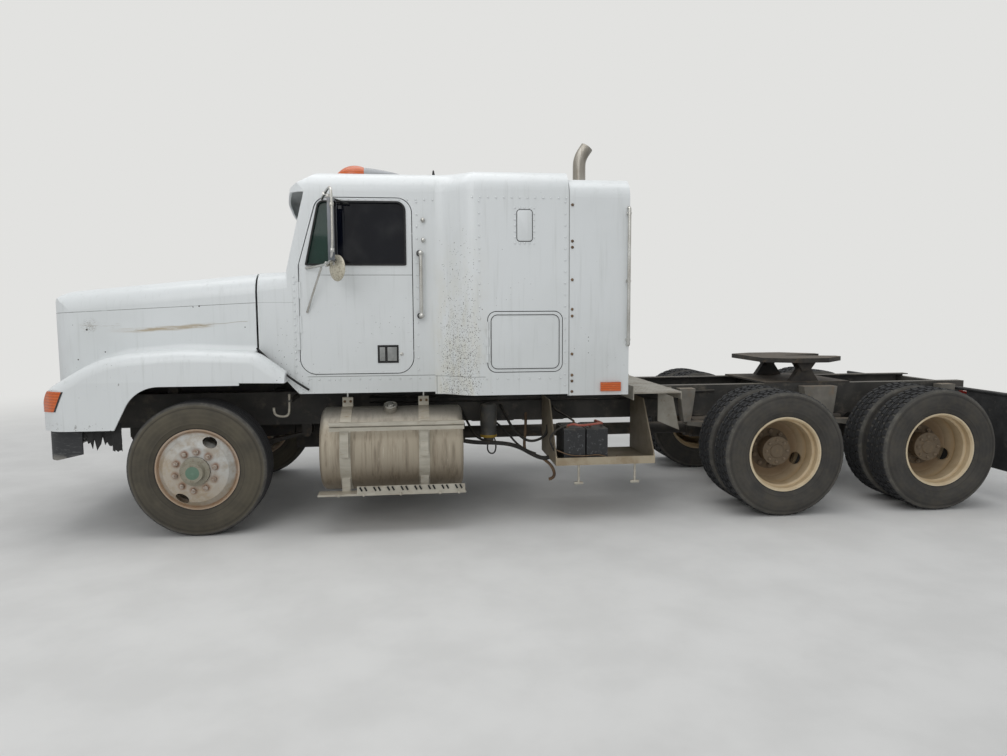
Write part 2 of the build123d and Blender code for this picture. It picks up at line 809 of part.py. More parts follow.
def cab_outer(inset):
    """The cab below the roof seam as a solid, moved in by inset."""
    half = cab_half - inset
    cowl = cowl_half - inset
    left = [(cowl_front + inset, -cowl), (door_front - 20, -half, 300), (cab_rear - inset, -half)]
    plan = plan_slab(left + [(x, -y, *r) for x, y, *r in reversed(left)], cab_floor + inset, roof_seam + 1)
    cab = side_slab(cab_side(inset), -cab_half, cab_half)
    hump = side_slab(cowl_side(inset), -cab_half, cab_half)
    hump &= arch_loft(cab_floor, hood_top_radius - inset,
                      [(cowl_front, cowl, cowl_top - inset),
                       (glass_base_x + 60 + inset, half, glass_base_z - inset)])
    cab -= side_slab([(cowl_front - 5, cab_floor), (glass_base_x - 200, glass_base_z + 200),
                      (cowl_front - 5, 2100)],
                     -cab_half, cab_half)
    return (cab + hump) & plan


def door_outline(grow):
    """The door's side outline with the slant of the windscreen pillar."""
    front = door_front - grow
    rear = door_rear + grow
    low = door_low - grow
    high = door_high + grow
    return [(front, low, door_corner + grow), (front + 8, belt_z), (door_slant_x - grow, high, 100),
            (rear, high, door_corner + grow - 10), (rear, low, door_corner + grow)]


def piano_hinge(x, half, low, high, wall_leaf):
    """The left hinge's knuckles, every other one for the wall or the leaf that it carries."""
    y = -(half + hinge_radius + seat_gap)
    step = (high - low) / hinge_knuckles
    shape = None
    for i in range(hinge_knuckles):
        if (i % 2 == 0) != wall_leaf:
            continue
        z0 = low + i * step + 1
        z1 = z0 + step - 2
        reach = -hinge_leaf if wall_leaf else hinge_leaf
        leaf = box(min(x, x + reach), max(x, x + reach), y, -half + 8, z0, z1)
        if not wall_leaf:
            leaf -= box(x - 1, x + door_gap - 1, -half, -half + 9, z0 - 1, z1 + 1)
        else:
            leaf -= box(x - 2, x + 1, -half - seat_gap, -half + 9, z0 - 1, z1 + 1)
        knuckle_part = rod_z(x, y, z0, z1, hinge_radius) + leaf
        if wall_leaf:
            knuckle_part -= rod_z(x, y, z0 - 1, z1 + 1, hinge_pin + bore_clearance)
        shape = knuckle_part if shape is None else shape + knuckle_part
    if not wall_leaf:
        shape += rod_z(x, y, low + 1, high - 1, hinge_pin)
    return shape


def cab_shell():
    """The hollow cab: cowl, pillars, floor and rear wall, with its openings."""
    shell = cab_outer(0) - cab_outer(cab_wall)
    for sign in (-1, 1):
        y0 = min(sign * (cab_half - cab_wall - 40), sign * (cab_half + 40))
        shell -= side_slab(door_outline(door_gap), y0, y0 + cab_wall + 80)
    slope = (glass_top_x - glass_base_x) / (roof_seam - glass_base_z)
    low = glass_base_z + 45
    high = roof_seam - 45
    x_low = glass_base_x + slope * (low - glass_base_z)
    x_high = glass_base_x + slope * (high - glass_base_z)
    window = side_slab([(x_low - 60, low), (x_low + 90, low), (x_high + 90, high), (x_high - 60, high)],
                       -890, 890)
    shell -= window
    shell -= box(cab_rear - cab_wall - 10, cab_rear + 10, -420, 420, cab_floor + cab_wall, roof_seam + 5)
    for shape in both(piano_hinge(door_front - 4, cab_half, door_hinge_low, belt_z, True)):
        shell += shape
    return [shell]


def windshield():
    """The windscreen pane in its frame, raked with the pillars."""
    slope = (glass_top_x - glass_base_x) / (roof_seam - glass_base_z)
    low = glass_base_z + 45 + seat_gap
    high = roof_seam - 45 - seat_gap
    x_low = glass_base_x + 14 + slope * (low - glass_base_z)
    x_high = glass_base_x + 14 + slope * (high - glass_base_z)
    return [side_slab([(x_low, low), (x_low + glass_wall, low), (x_high + glass_wall, high),
                       (x_high, high)],
                      -890 + seat_gap, 890 - seat_gap)]


def roof_plan(inset):
    """The roof's plan outline from the windscreen to the sleeper's rear, moved in by inset."""
    cab = cab_half - inset
    half = sleeper_half - inset
    return mirrored([(glass_top_x + inset, cab - 4), (glass_top_x + 90, cab),
                     (flare_front, cab, flare_radius),
                     (flare_rear, half, flare_radius), (sleeper_rear - inset, half)])


def roof_solid(inset):
    """The roof as a solid with rounded upper edges, moved in by inset."""
    top = roof_top - inset
    body = plan_slab(roof_plan(inset), roof_seam, top)
    sides = [e for e in body.edges() if e.center().Z > top - 1 and abs(e.center().Y) > cab_half - inset
             - 20]
    body = fillet(sides, roof_edge_radius - inset)
    front = side_slab([(glass_top_x + inset, roof_seam - 1),
                       (glass_top_x + inset + 30, top, roof_nose_radius - inset),
                       (sleeper_rear + 1, top), (sleeper_rear + 1,
                                                 roof_seam - 1)], -sleeper_half - 1, sleeper_half + 1)
    return body & front


def roof_caps():
    """The roof over cab and sleeper, hollow below."""
    return [roof_solid(0) - roof_solid(roof_wall)]


def visor_outer(inset):
    """The visor as a solid over the windscreen's head; with an inset, its inside, open to the rear."""
    tip = visor_tip + inset
    half = visor_half - inset
    rear = glass_top_x + visor_reach
    top = visor_top - inset
    front = [(tip, visor_low), (tip, visor_lip - inset, 60), (visor_ridge_x, top)]
    back = [(rear, visor_end_low + 24), (rear, visor_low)]
    if inset:
        back = [(rear + 20, top), (rear + 20, visor_low)]
    side = side_slab(front + back, -half - 1, half + 1)
    ends = visor_end_low - 2 * inset
    low = visor_low - inset
    across = front_slab([(-half, ends), (-half, visor_shoulder, 145), (half, visor_shoulder, 145),
                         (half, ends), (half - 120, ends), (430, low, 700), (-430, low, 700),
                         (-half + 120, ends)], tip - 1, rear + 21)
    wide = half + 0.5
    plan = plan_slab(mirrored([(tip - 0.5, 700, 700), (tip + 70, wide, 130), (rear + 22, wide)]),
                     visor_low - 60, roof_top + 20)
    return side & across & plan


def sun_visor():
    """The curved visor over the windscreen, open below and behind."""
    return [visor_outer(0) - visor_outer(visor_wall) - roof_solid(-seat_gap)]


def sleeper_plan(inset):
    """The sleeper's plan outline, with the flare from the cab's width."""
    half = sleeper_half - inset
    cab = cab_half - inset
    radius = 60 if inset else flare_radius
    return mirrored([(cab_rear + inset, cab), (flare_front, cab, radius), (flare_rear, half, radius),
                     (sleeper_rear - inset, half)])


def luggage_outline(grow):
    """The luggage door's outline with round corners."""
    x0 = luggage_front - grow
    x1 = luggage_rear + grow
    z0 = luggage_low - grow
    z1 = luggage_high + grow
    c = luggage_corner + grow
    return [(x0, z0, c), (x1, z0, c), (x1, z1, c), (x0, z1, c)]


def sleeper_shell():
    """The hollow sleeper box, open towards the cab, with its luggage openings."""
    shell = plan_slab(sleeper_plan(0), sleeper_floor, roof_seam)
    w = sleeper_wall
    shell -= plan_slab(sleeper_plan(w), sleeper_floor + w, roof_seam + 1)
    shell -= box(cab_rear - 1, cab_rear + w + 5, -420, 420, sleeper_floor + w + 20, roof_seam + 1)
    for sign in (-1, 1):
        y0 = min(sign * (sleeper_half - w - 30), sign * (sleeper_half + 30))
        shell -= side_slab(luggage_outline(door_gap), y0, y0 + w + 60)
    for shape in both(piano_hinge(luggage_front - 4, sleeper_half, luggage_low + 70, luggage_high - 70,
                                  True)):
        shell += shape
    return [shell]


def luggage_door():
    """The left luggage door, as thick as the wall."""
    panel = side_slab(luggage_outline(0), -sleeper_half, -sleeper_half + sleeper_wall)
    return panel + piano_hinge(luggage_front - 4, sleeper_half, luggage_low + 70, luggage_high - 70, False)


def side_extenders():
    """Flat panels that carry the sleeper's sides rearwards, their heads curved inwards."""
    out = -sleeper_half
    inner = out + extender_wall
    head = out + extender_curve + 12
    section = [(out, extender_low), (out, extender_high, extender_curve), (head, extender_high),
               (head, extender_high - extender_wall), (inner, extender_high - extender_wall,
                                                       extender_curve - extender_wall),
               (inner, extender_low)]
    return both(front_slab(section, sleeper_rear, extender_rear))


def door():
    """The left door with its window opening."""
    shape = side_slab(door_outline(0), -cab_half, -cab_half + cab_wall)
    shape -= side_slab(window_outline(0), -cab_half - 5, -cab_half + cab_wall + 5)
    return shape + piano_hinge(door_front - 4, cab_half, door_hinge_low, belt_z, False)


def window_outline(inset):
    """The side window's outline behind the slanted pillar."""
    front = window_front + inset
    rear = window_rear - inset
    return [(front, window_low + inset), (door_slant_x + 8 + inset, window_high - inset, 35),
            (rear, window_high - inset, 65 - inset), (rear, window_low + inset)]


def door_glass():
    """The left door's pane."""
    y = -cab_half + 22
    return side_slab(window_outline(seat_gap), y, y + glass_wall)


def side_mirror():
    """The left mirror: a bowed tube on two arms, a tall head and a round one below."""
    y_face = -cab_half
    y_out = -mirror_out
    x = mirror_x
    low = mirror_low
    frame = tube([(x, y_face, mirror_high), (x, y_out, mirror_high), (x, y_out, low), (x, y_face, low)],
                 [60, 40], 11)
    arm = tube([(790, y_face, low), (790, y_face - 60, low), (x, y_out + 60, low)], [40], 9)
    strut = tube([(778, y_face, 1626), (778, y_face - 40, 1626), (925, y_face - 125, low - 4)], [25], 8)
    head = box(x + 14, x + 58, y_out - 95, y_out + 95, low + 30, mirror_high - 10)
    disc_head = rod_x(x - 6, x + 28, y_out + 26, low - 96, 95)
    clamps = box(x - 10, x + 20, y_out - 12, y_out + 12, low + 80, low + 110)
    clamps += box(x - 10, x + 20, y_out - 12, y_out + 12, mirror_high - 90, mirror_high - 60)
    return frame + arm + strut + head + disc_head + clamps


def dashboard():
    """Dash panel, and the steering wheel on its column, which runs into the panel."""
    half = cab_half - cab_wall - 12
    dash = side_slab([(720, 1560), (720, 1925), (760, 1935), (960, 1905), (1000, 1840), (930, 1560)],
                     -half, half)
    dash += box(cowl_front + cab_wall + seat_gap, 721, -600, 600, 1650, 1870)
    wheel_place = Pos(1150, -480, 1905) * Rot(0, column_lean, 0)
    wheel = wheel_place * Torus(215, 14) + wheel_place * Cylinder(45, 30)
    for angle in (90, 210, 330):
        wheel += wheel_place * Rot(0, 0, angle) * Pos(110, 0, 0) * Box(210, 24, 10)
    column_place = wheel_place * Pos(0, 0, -10 - column_length / 2)
    wheel += column_place * Cylinder(column_radius, column_length)
    dash -= column_place * Cylinder(column_radius + seat_gap, column_length + 2 * seat_gap)
    return [dash, wheel]


def seats():
    """Two seats on their pedestals, and the bunk behind."""
    shapes = []
    floor = cab_floor + cab_wall
    for y in (-480, 480):
        base = box(1240, 1560, y - 180, y + 180, floor, 1400)
        cushion = box(1180, 1620, y - 250, y + 250, 1400, 1540)
        back = side_slab([(1530, 1540), (1620, 1540), (1680, 2230), (1590, 2260)], y - 240, y + 240)
        shapes.append(base + cushion + back)
    bunk_floor = sleeper_floor + sleeper_wall
    bunk = box(1960, sleeper_rear - sleeper_wall - 2, -1080, 1080, bunk_floor + 620, bunk_floor + 780)
    bunk += box(2000, sleeper_rear - sleeper_wall - 2, -200, 200, bunk_floor, bunk_floor + 620)
    shapes.append(bunk)
    return shapes


def fuel_tanks():
    """A round tank on each side, its ends rounded, with the filler cap."""
    tank = rod_x(tank_front, tank_rear, -tank_y, tank_z, tank_radius)
    tank = fillet(tank.edges().filter_by(GeomType.CIRCLE), tank_edge)
    lean = math.radians(20)
    cap = Pos(1397, -tank_y, tank_z) * Rot(math.degrees(lean), 0, 0) * Pos(0, 0,
        tank_radius + 10) * Cylinder(48, 60)
    return both(tank + cap)


def tank_steps():
    """Straps, frame brackets and the two steps of each tank."""
    shapes = []
    r = tank_radius + seat_gap
    shape = None
    for x in strap_stations:
        x0 = x - strap_width / 2
        x1 = x + strap_width / 2
        band = rod_x(x0, x1, -tank_y, tank_z, r + strap_wall) - rod_x(x0 - 1, x1 + 1, -tank_y, tank_z, r)
        ear = box(x0, x1, -tank_y - 12, -tank_y + 12, tank_z + r + strap_wall - 1, tank_z + r + 75)
        bracket = box(x0, x1, -tank_y + 60, -rail_outer_y, rail_bottom - 110, pipe_z - pipe_radius - 20)
        bracket -= rod_x(x0 - 1, x1 + 1, -tank_y, tank_z, r + strap_wall - 0.5)
        arm = box(x0 + 10, x1 - 10, -tank_y - r - 40, -tank_y - r - strap_wall + 2, tank_z - 10,
                  tank_z + 250)
        hang = box(x0 + 10, x1 - 10, -tank_y - 270, -tank_y - 262, 305, tank_z - 100)
        hang -= rod_x(x0 - 1, x1 + 1, -tank_y, tank_z, r + strap_wall - 0.5)
        piece = band + ear + bracket + arm + hang
        shape = piece if shape is None else shape + piece
    y_out = -tank_y - r - 40
    upper = box(961, 1942, y_out - 22, y_out, 775, 802) + box(961, 1942, y_out - 22, y_out, 812, 838)
    upper += box(961, 1942, y_out - 3, y_out + 3, 775, 838)
    lower = box(866, 1953, y_out - 8, -tank_y - 250, 292, 306)
    plate = box(1151, 1945, y_out - 8, y_out - 2, 306, 362)
    return both(shape + upper + lower + plate)


def battery_box():
    """The tray on the left rail with two batteries, its end plates and posts."""
    y_out = -battery_out
    tray = box(battery_front, battery_rear, y_out, -rail_outer_y - 5, battery_low, battery_low + 8)
    tray += box(battery_front, battery_rear, y_out, y_out + 8, battery_low, battery_low + 60)
    reach = rail_outer_y + 360
    for x in (battery_front, battery_rear - 10):
        tray += front_slab([(y_out, battery_low), (-rail_outer_y, battery_low),
                            (-rail_outer_y, rail_top - 60),
                            (-reach, rail_top - 60), (y_out, battery_low + 60)], x, x + 10)
    for x in (battery_front + 70, battery_front + 250):
        tray += box(x, x + battery_long, -1070, -740, battery_low + 8, battery_low + 264)
    return [tray]


def deck_plate():
    """The tread plate across the rails behind the cab, with its legs and a gusset on each side."""
    plate = box(deck_front, deck_rear, -deck_half, deck_half, rail_top, rail_top + deck_wall)
    plate += box(deck_front, deck_front + 8, -deck_half, deck_half, rail_top + deck_wall, rail_top + 60)
    for x in (deck_front, deck_rear - 8):
        for sign in (-1, 1):
            y0 = min(sign * (rail_outer_y + 4), sign * deck_half)
            y1 = max(sign * (rail_outer_y + 4), sign * deck_half)
            plate += box(x, x + 8, y0, y1, rail_top - 50, rail_top)
    gusset = side_slab([(deck_rear - 75, rail_top), (deck_rear - 75, 702), (deck_rear + 116, 620),
                        (deck_rear + 64, 877),
                        (deck_rear + 40, rail_top + deck_wall), (deck_rear - 75, rail_top + deck_wall)],
                       -gusset_y, -gusset_y + 6)
    for shape in both(gusset):
        plate += shape
    return [plate]


def fifth_wheel_base():
    """The mounting plate and the two pivot stands."""
    base = box(fifth_x - 400, fifth_x + 400, -rail_outer_y, rail_outer_y, rail_top, rail_top + 14)
    for sign in (-1, 1):
        y0 = sign * 345 - 35
        stand = side_slab([(fifth_x - 130, rail_top + 14), (fifth_x + 130, rail_top + 14),
                           (fifth_x + 38, pivot_z + 10),
                           (fifth_x - 38, pivot_z + 10)], y0, y0 + 70)
        stand += rod_y(fifth_x, pivot_z, y0, y0 + 70, 38)
        stand -= rod_y(fifth_x, pivot_z, y0 - 5, y0 + 75, pivot_radius + bore_clearance)
        base += stand
    return [base]


def fifth_wheel_plate():
    """The tilting top plate with its throat for the trailer's pin."""
    top = fifth_top
    low = top - fifth_wall
    back = fifth_x + 430
    plate = plan_slab([(fifth_x - 380, -330), (fifth_x - 380, 330), (fifth_x - 150, fifth_half),
                       (fifth_x + 180, fifth_half),
                       (back, 230), (back, 150), (fifth_x + 60, kingpin_slot / 2), (fifth_x + 60,
                           -kingpin_slot / 2),
                       (back, -150), (back, -230), (fifth_x + 180, -fifth_half), (fifth_x - 150,
                           -fifth_half)], low, top)
    plate -= rod_z(fifth_x + 30, 0, low - 5, top + 5, kingpin_slot / 2)
    plate -= box(fifth_x + 30, fifth_x + 62, -kingpin_slot / 2, kingpin_slot / 2, low - 5, top + 5)
    for sign in (-1, 1):
        for y in (sign * 345 - 57, sign * 345 + 41):
            ear = side_slab([(fifth_x - 90, low), (fifth_x + 90, low), (fifth_x + 34, pivot_z - 34),
                             (fifth_x - 34, pivot_z - 34)],
                            y, y + 16)
            plate += ear
        plate += rod_y(fifth_x, pivot_z, sign * 345 - 57, sign * 345 + 57, pivot_radius)
    return [plate]


def exhaust_stack():
    """The pipe along the right rail, the upright muffler and the curved tail."""
    low = tube([(600, pipe_y, pipe_z), (3000, pipe_y, pipe_z), (stack_x, stack_y, pipe_z),
                (stack_x, stack_y, muffler_low)],
               [110, 110], pipe_radius)
    muffler = rod_z(stack_x, stack_y, muffler_low, muffler_high, muffler_radius)
    tail = tube([(stack_x, stack_y, muffler_high), (stack_x, stack_y, stack_top - 160),
                 (stack_x + 78, stack_y, stack_top - 45)], [240], stack_radius)
    stay = box(stack_x - 30, stack_x + 30, rail_outer_y, stack_y - muffler_radius - 2, rail_top - 120,
               rail_top - 20)
    stay += box(stack_x - 30, stack_x + 30, stack_y - muffler_radius - 14, stack_y - muffler_radius + 4,
                rail_top - 120, 1900)
    return [low + muffler + tail + stay]


def roof_pod(y):
    """A teardrop marker lamp on the roof: its lens, and the tail behind it."""
    nose = pod_front
    split = pod_split
    lens = [Line((nose, 0), (split, 0)), Line((split, 0), (split, pod_height - 12)),
            ThreePointArc((split, pod_height - 12), (nose + 115, pod_height), (nose, 0))]
    tail = [Line((split, 0), (pod_rear, 0)), ThreePointArc((pod_rear, 0), (split + 160, 0.56 * pod_height),
                                                          (split, pod_height - 12)),
            Line((split, pod_height - 12), (split, 0))]
    shapes = []
    for edges in (lens, tail):
        face = Plane(origin=(0, 0, 0), x_dir=(1, 0, 0), z_dir=(0, -1, 0)) * make_face(edges)
        turned = revolve(face, axis=Axis.X)
        shapes.append(Pos(0, y, roof_top) * (turned & box(nose - 5, pod_rear + 5, -100, 100, 0, 100)))
    return shapes


def grab_rails():
    """Upright rails behind the doors and at the extenders' rear edges."""
    y = -cab_half - 48
    rail = tube([(1642, -cab_half, 2080), (1642, y, 2080), (1642, y, 1600), (1642, -cab_half, 1600)],
                [20, 20], 14)
    y = -sleeper_half - 30
    x = extender_rear - 12
    rear = tube([(x, -sleeper_half, 2400), (x, y, 2400), (x, y, 1380), (x, -sleeper_half, 1380)], [16, 16],
                13)
    return both(rail) + both(rear)


def lamps():
    """Five roof marker pods, the side markers and the tail lamps."""
    shapes = [s for y in pod_stations for s in roof_pod(y)]
    side = box(marker_front, marker_front + 155, -sleeper_half - 22, -sleeper_half, 1030, 1098)
    shapes += both(side)
    tail = box(frame_end - 45, frame_end - 5, -rail_outer_y - 250, -rail_outer_y, 780, 890)
    shapes += both(tail)
    return shapes


def mud_flaps():
    """Hanger bars behind the rear tyres with their rubber flaps."""
    x = frame_end - 110
    bar = rod_y(x, rail_top - 60, -1215, -rail_outer_y, 16)
    flap = box(x - 4, x + 4, -1215, -615, 280, rail_top - 74)
    return both(bar + flap)


def air_tanks():
    """Two air reservoirs outside the right rail."""
    shapes = []
    for x0 in (2120, 2640):
        tank = rod_x(x0, x0 + 460, 760, 640, 120)
        tank = fillet(tank.edges().filter_by(GeomType.CIRCLE), 30)
        hang = box(x0 + 200, x0 + 260, rail_outer_y, 760, 700, 790 - 20)
        hang += box(x0 + 200, x0 + 260, 660, 760, 690, 770)
        hang -= rod_x(x0, x0 + 460, 760, 640, 119)
        shapes.append(tank + hang)
    return shapes


def hood_lamps():
    """Twin headlamps in a bezel beside the grille, and the lamp round each corner."""
    skin = fender(-lamp_proud) - fender(hood_wall + 4)
    corner = corner_lamp_cut(seat_gap) & skin
    inner = -headlamp_inner - seat_gap
    outer = -headlamp_outer + seat_gap
    low = lamp_low + seat_gap
    high = lamp_high - seat_gap
    bezel = plan_slab([(lamp_face_inner, inner), (lamp_face_outer, outer), (lamp_back, outer),
                       (lamp_back, inner)], low, high)
    lenses = []
    pitch = (headlamp_outer - headlamp_inner) / 2
    lean = (lamp_face_outer - lamp_face_inner) / (headlamp_outer - headlamp_inner)
    for number in (0, 1):
        y = -headlamp_inner - pitch * (number + 0.5)
        x = lamp_face_inner + lean * pitch * (number + 0.5)
        turn = math.degrees(math.atan(lean))
        place = Pos(x, y, (low + high) / 2) * Rot(0, 0, turn)
        bezel -= place * box(-40, lamp_sink, -72, 72, -51, 51)
        lens = place * Pos(lamp_sink - 10 - seat_gap, 0, 0) * Box(20, 143, 101)
        lenses.append(lens)
    shapes = [corner, bezel] + lenses
    return [s for shape in shapes for s in both(shape)]


def all_nodes():
    """Every node by name, with its list of solids."""
    nodes = {
        "frame_rails": frame_rails(), "crossmembers": crossmembers(), "front_bumper": front_bumper(),
        "engine": engine(), "front_axle": front_axle(), "drive_axles": drive_axles(),
        "rear_suspension": rear_suspension(), "driveshafts": driveshafts(), "cab_shell": cab_shell(),
        "roof_caps": roof_caps(), "sun_visor": sun_visor(), "windshield": windshield(),
        "sleeper_shell": sleeper_shell(), "side_extenders": side_extenders(), "dashboard": dashboard(),
        "seats": seats(), "fuel_tanks": fuel_tanks(), "tank_steps": tank_steps(),
        "battery_box": battery_box(), "deck_plate": deck_plate(), "fifth_wheel_base": fifth_wheel_base(),
        "fifth_wheel_plate": fifth_wheel_plate(), "exhaust_stack": exhaust_stack(),
        "grab_rails": grab_rails(), "lamps": lamps(), "mud_flaps": mud_flaps(),
        "air_tanks": air_tanks(), "hood": hood(), "grille": grille(), "hood_lamps": hood_lamps(),
        "tie_rod": [tie_rod()],
    }
    pairs = {"door": door(), "door_glass": door_glass(), "mirror": side_mirror(),
             "luggage_door": luggage_door(),
             "knuckle": knuckle()}
    for name, left in pairs.items():
        nodes[f"{name}_left"] = [left]
        nodes[f"{name}_right"] = [other_side(left)]
    nodes.update(wheel_sets())
    return nodes


to_middle = front_overhang - overall_length / 2
for node, shapes in all_nodes().items():
    solids = [Pos(to_middle, 0, 0) * solid for shape in shapes for solid in shape.solids()]
    export_step(Compound(children=solids) if len(solids) > 1 else solids[0], f"parts/{node}.step")
    print(node, len(solids))
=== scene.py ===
# %% [markdown]
# This lesson dresses a sleeper tractor unit. Its solids come packed in one fixed frame: X runs
# from the bumper to the tail, Y to the vehicle's right and Z up, in metres, with the origin on the
# ground under the middle of the vehicle. The solids already have the real forms, so the work
# here is finishes first, and then the small things that a metal shop would bolt, rivet or
# glue on last. The first cell loads the frame.

# %% Load the fixed frame
import math
import random

import bmesh
import bpy
from mathutils import Matrix, Vector


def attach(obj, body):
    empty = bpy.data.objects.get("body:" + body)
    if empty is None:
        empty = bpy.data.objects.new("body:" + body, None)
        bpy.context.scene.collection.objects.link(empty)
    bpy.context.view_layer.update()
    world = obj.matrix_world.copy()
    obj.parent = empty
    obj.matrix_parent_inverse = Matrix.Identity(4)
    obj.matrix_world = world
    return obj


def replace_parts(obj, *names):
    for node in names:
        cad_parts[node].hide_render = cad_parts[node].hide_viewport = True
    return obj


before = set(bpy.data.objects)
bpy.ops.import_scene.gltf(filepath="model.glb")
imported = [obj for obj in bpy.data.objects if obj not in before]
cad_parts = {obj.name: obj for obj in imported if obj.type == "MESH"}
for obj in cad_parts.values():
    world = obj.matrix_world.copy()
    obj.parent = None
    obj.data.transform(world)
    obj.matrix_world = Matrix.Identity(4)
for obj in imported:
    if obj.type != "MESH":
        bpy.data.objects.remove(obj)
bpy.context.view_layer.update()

# %% [markdown]
# The photograph's camera stood about six and a half metres from the left side, level with the
# back of the hood. Where the wheels, the door and the tank fall in the picture gives the camera's
# place, its three angles and its focal length. A camera in Blender looks along its own minus Z, so
# the matrix is built from the three directions themselves, which leaves no doubt about the order of
# turns.

# %% Place the camera
PICTURE_WIDTH = 1007
EYE = Vector((-1.0804487, -6.57182603, 1.64989761))
YAW, PITCH, ROLL = (math.radians(a) for a in (6.5175939623, -5.3683493128, -0.290703684))
FOCAL_PIXELS = 726.663846
SENSOR_WIDTH = 36
SIGHT = 200

camera_data = bpy.data.cameras.new("camera")
camera = bpy.data.objects.new("camera", camera_data)
bpy.context.scene.collection.objects.link(camera)
bpy.context.scene.camera = camera
forward = Vector((math.sin(YAW) * math.cos(PITCH), math.cos(YAW) * math.cos(PITCH), math.sin(PITCH)))
level = Vector((math.cos(YAW), -math.sin(YAW), 0))
above = level.cross(forward)
right = level * math.cos(ROLL) + above * math.sin(ROLL)
upward = above * math.cos(ROLL) - level * math.sin(ROLL)
turn = Matrix((right, upward, -forward)).transposed().to_4x4()
camera.matrix_world = Matrix.Translation(EYE) @ turn
camera_data.sensor_width = SENSOR_WIDTH
camera_data.lens = FOCAL_PIXELS / PICTURE_WIDTH * SENSOR_WIDTH
camera_data.clip_end = SIGHT
bpy.context.scene.view_settings.view_transform = "Standard"
print("camera lens", round(camera_data.lens, 2), "mm")

# %% [markdown]
# Shader nodes are easier to read as sums than as boxes and wires. A Wire holds one socket. Sums
# and products of wires and numbers add Math nodes, and one method adds any other node, with its
# settings first and its sockets after them. Colours never go through Math, which would turn them
# grey: they go through a Mix node, which the mask's own method adds.

# %% Shader maths as plain sums
class Wire:
    """One shader socket. Sums with other wires or numbers add Math nodes."""

    def __init__(self, tree, socket=None):
        self.tree = tree
        self.socket = socket

    def feed(self, socket, value):
        """Links a wire to a socket, or writes a plain value there."""
        if isinstance(value, Wire):
            self.tree.links.new(value.socket, socket)
        else:
            socket.default_value = value

    def node(self, kind, settings, sockets, out=0):
        """Adds a node, first its settings and then its sockets, and gives one output."""
        made = self.tree.nodes.new(kind)
        for name, value in settings.items():
            setattr(made, name, value)
        for name, value in sockets.items():
            self.feed(made.inputs[name], value)
        return Wire(self.tree, made.outputs[out])

    def math(self, operation, first, second=0.0):
        """A Math node on two values."""
        return self.node("ShaderNodeMath", {"operation": operation}, {0: first, 1: second})

    def __add__(self, other):
        return self.math("ADD", self, other)

    def __sub__(self, other):
        return self.math("SUBTRACT", self, other)

    def __mul__(self, other):
        return self.math("MULTIPLY", self, other)

    def __pow__(self, other):
        return self.math("POWER", self, other)

    def __rsub__(self, other):
        return self.math("SUBTRACT", other, self)

    __radd__ = __add__
    __rmul__ = __mul__

    def size(self):
        """The distance from zero."""
        return self.math("ABSOLUTE", self)

    def most(self, other):
        """The larger of two values."""
        return self.math("MAXIMUM", self, other)

    def rise(self, low, high):
        """0 up to low, 1 from high on, and smooth between."""
        return self.node("ShaderNodeMapRange", {"interpolation_type": "SMOOTHSTEP"},
                         {"Value": self, "From Min": low, "From Max": high})

    def inside(self, low, high, soft):
        """1 between two values, fading over soft outside them."""
        return self.rise(low - soft, low) * (1 - self.rise(high, high + soft))

    def axis(self, name):
        """One coordinate of a vector."""
        return self.node("ShaderNodeSeparateXYZ", {}, {0: self}, name)

    def stretch(self, x, y, z):
        """The same coordinates, scaled along each axis."""
        return self.node("ShaderNodeMapping", {}, {"Vector": self, "Scale": (x, y, z)})

    def noise(self, scale, detail=3.0, roughness=0.55):
        """Cloudy noise on these coordinates."""
        return self.node("ShaderNodeTexNoise", {}, {"Vector": self, "Scale": scale, "Detail": detail,
                                                    "Roughness": roughness})

    def specks(self, scale, share, radius):
        """Round spots on a share of scattered points, radius counted in their spacing."""
        near = self.node("ShaderNodeTexVoronoi", {}, {"Vector": self, "Scale": scale}, "Distance")
        lot = Wire(self.tree, near.socket.node.outputs["Color"]).axis(0)
        return (share - lot).rise(0.0, 0.01) * (1 - near.rise(radius * 0.75, radius))

    def from_centre(self, x, z):
        """The distance from a line along Y through a point."""
        across = self.axis("X") - x
        up = self.axis("Z") - z
        return (across * across + up * up) ** 0.5

    def tint(self, below, over):
        """Lays one colour over another where this mask is 1."""
        return self.node("ShaderNodeMix", {"data_type": "RGBA"}, {0: self, 6: below, 7: over}, 2)

    def bump(self, strength, distance):
        """Turns a height into a normal."""
        return self.node("ShaderNodeBump", {}, {"Strength": strength, "Distance": distance, "Height": self})


print("wires ready")

# %% [markdown]
# Colours are picked as they show on a screen, and the shader wants linear light, so one helper
# turns one into the other. Two more start a material and feed what varies over its surface.

# %% Tones and materials
def tone(red, green, blue):
    """A colour as it shows on a screen, 0 to 255, as the shader's own linear values."""
    linear = [(c / 255 / 12.92) if c <= 10 else ((c / 255 + 0.055) / 1.055) ** 2.4
              for c in (red, green, blue)]
    return (*linear, 1.0)


def finish(name):
    """A new material with its shader, and a wire with the object's own coordinates."""
    made = bpy.data.materials.new(name)
    made.use_nodes = True
    shader = made.node_tree.nodes["Principled BSDF"]
    place = Wire(made.node_tree).node("ShaderNodeTexCoord", {}, {}, "Object")
    return made, shader, place


def wear(shader, place, colour, roughness, metallic=0.0, normal=None):
    """Feeds what varies over a surface to its shader."""
    for name, value in (("Base Color", colour), ("Roughness", roughness), ("Metallic", metallic)):
        place.feed(shader.inputs[name], value)
    if normal is not None:
        place.feed(shader.inputs["Normal"], normal)


print("a light grey in linear values", [round(c, 3) for c in tone(222, 224, 222)])

# %% [markdown]
# Every station was measured from the front axle. This cell names the wheel centres once, moved to
# the frame's own origin, and gives the helper that moves any other station.

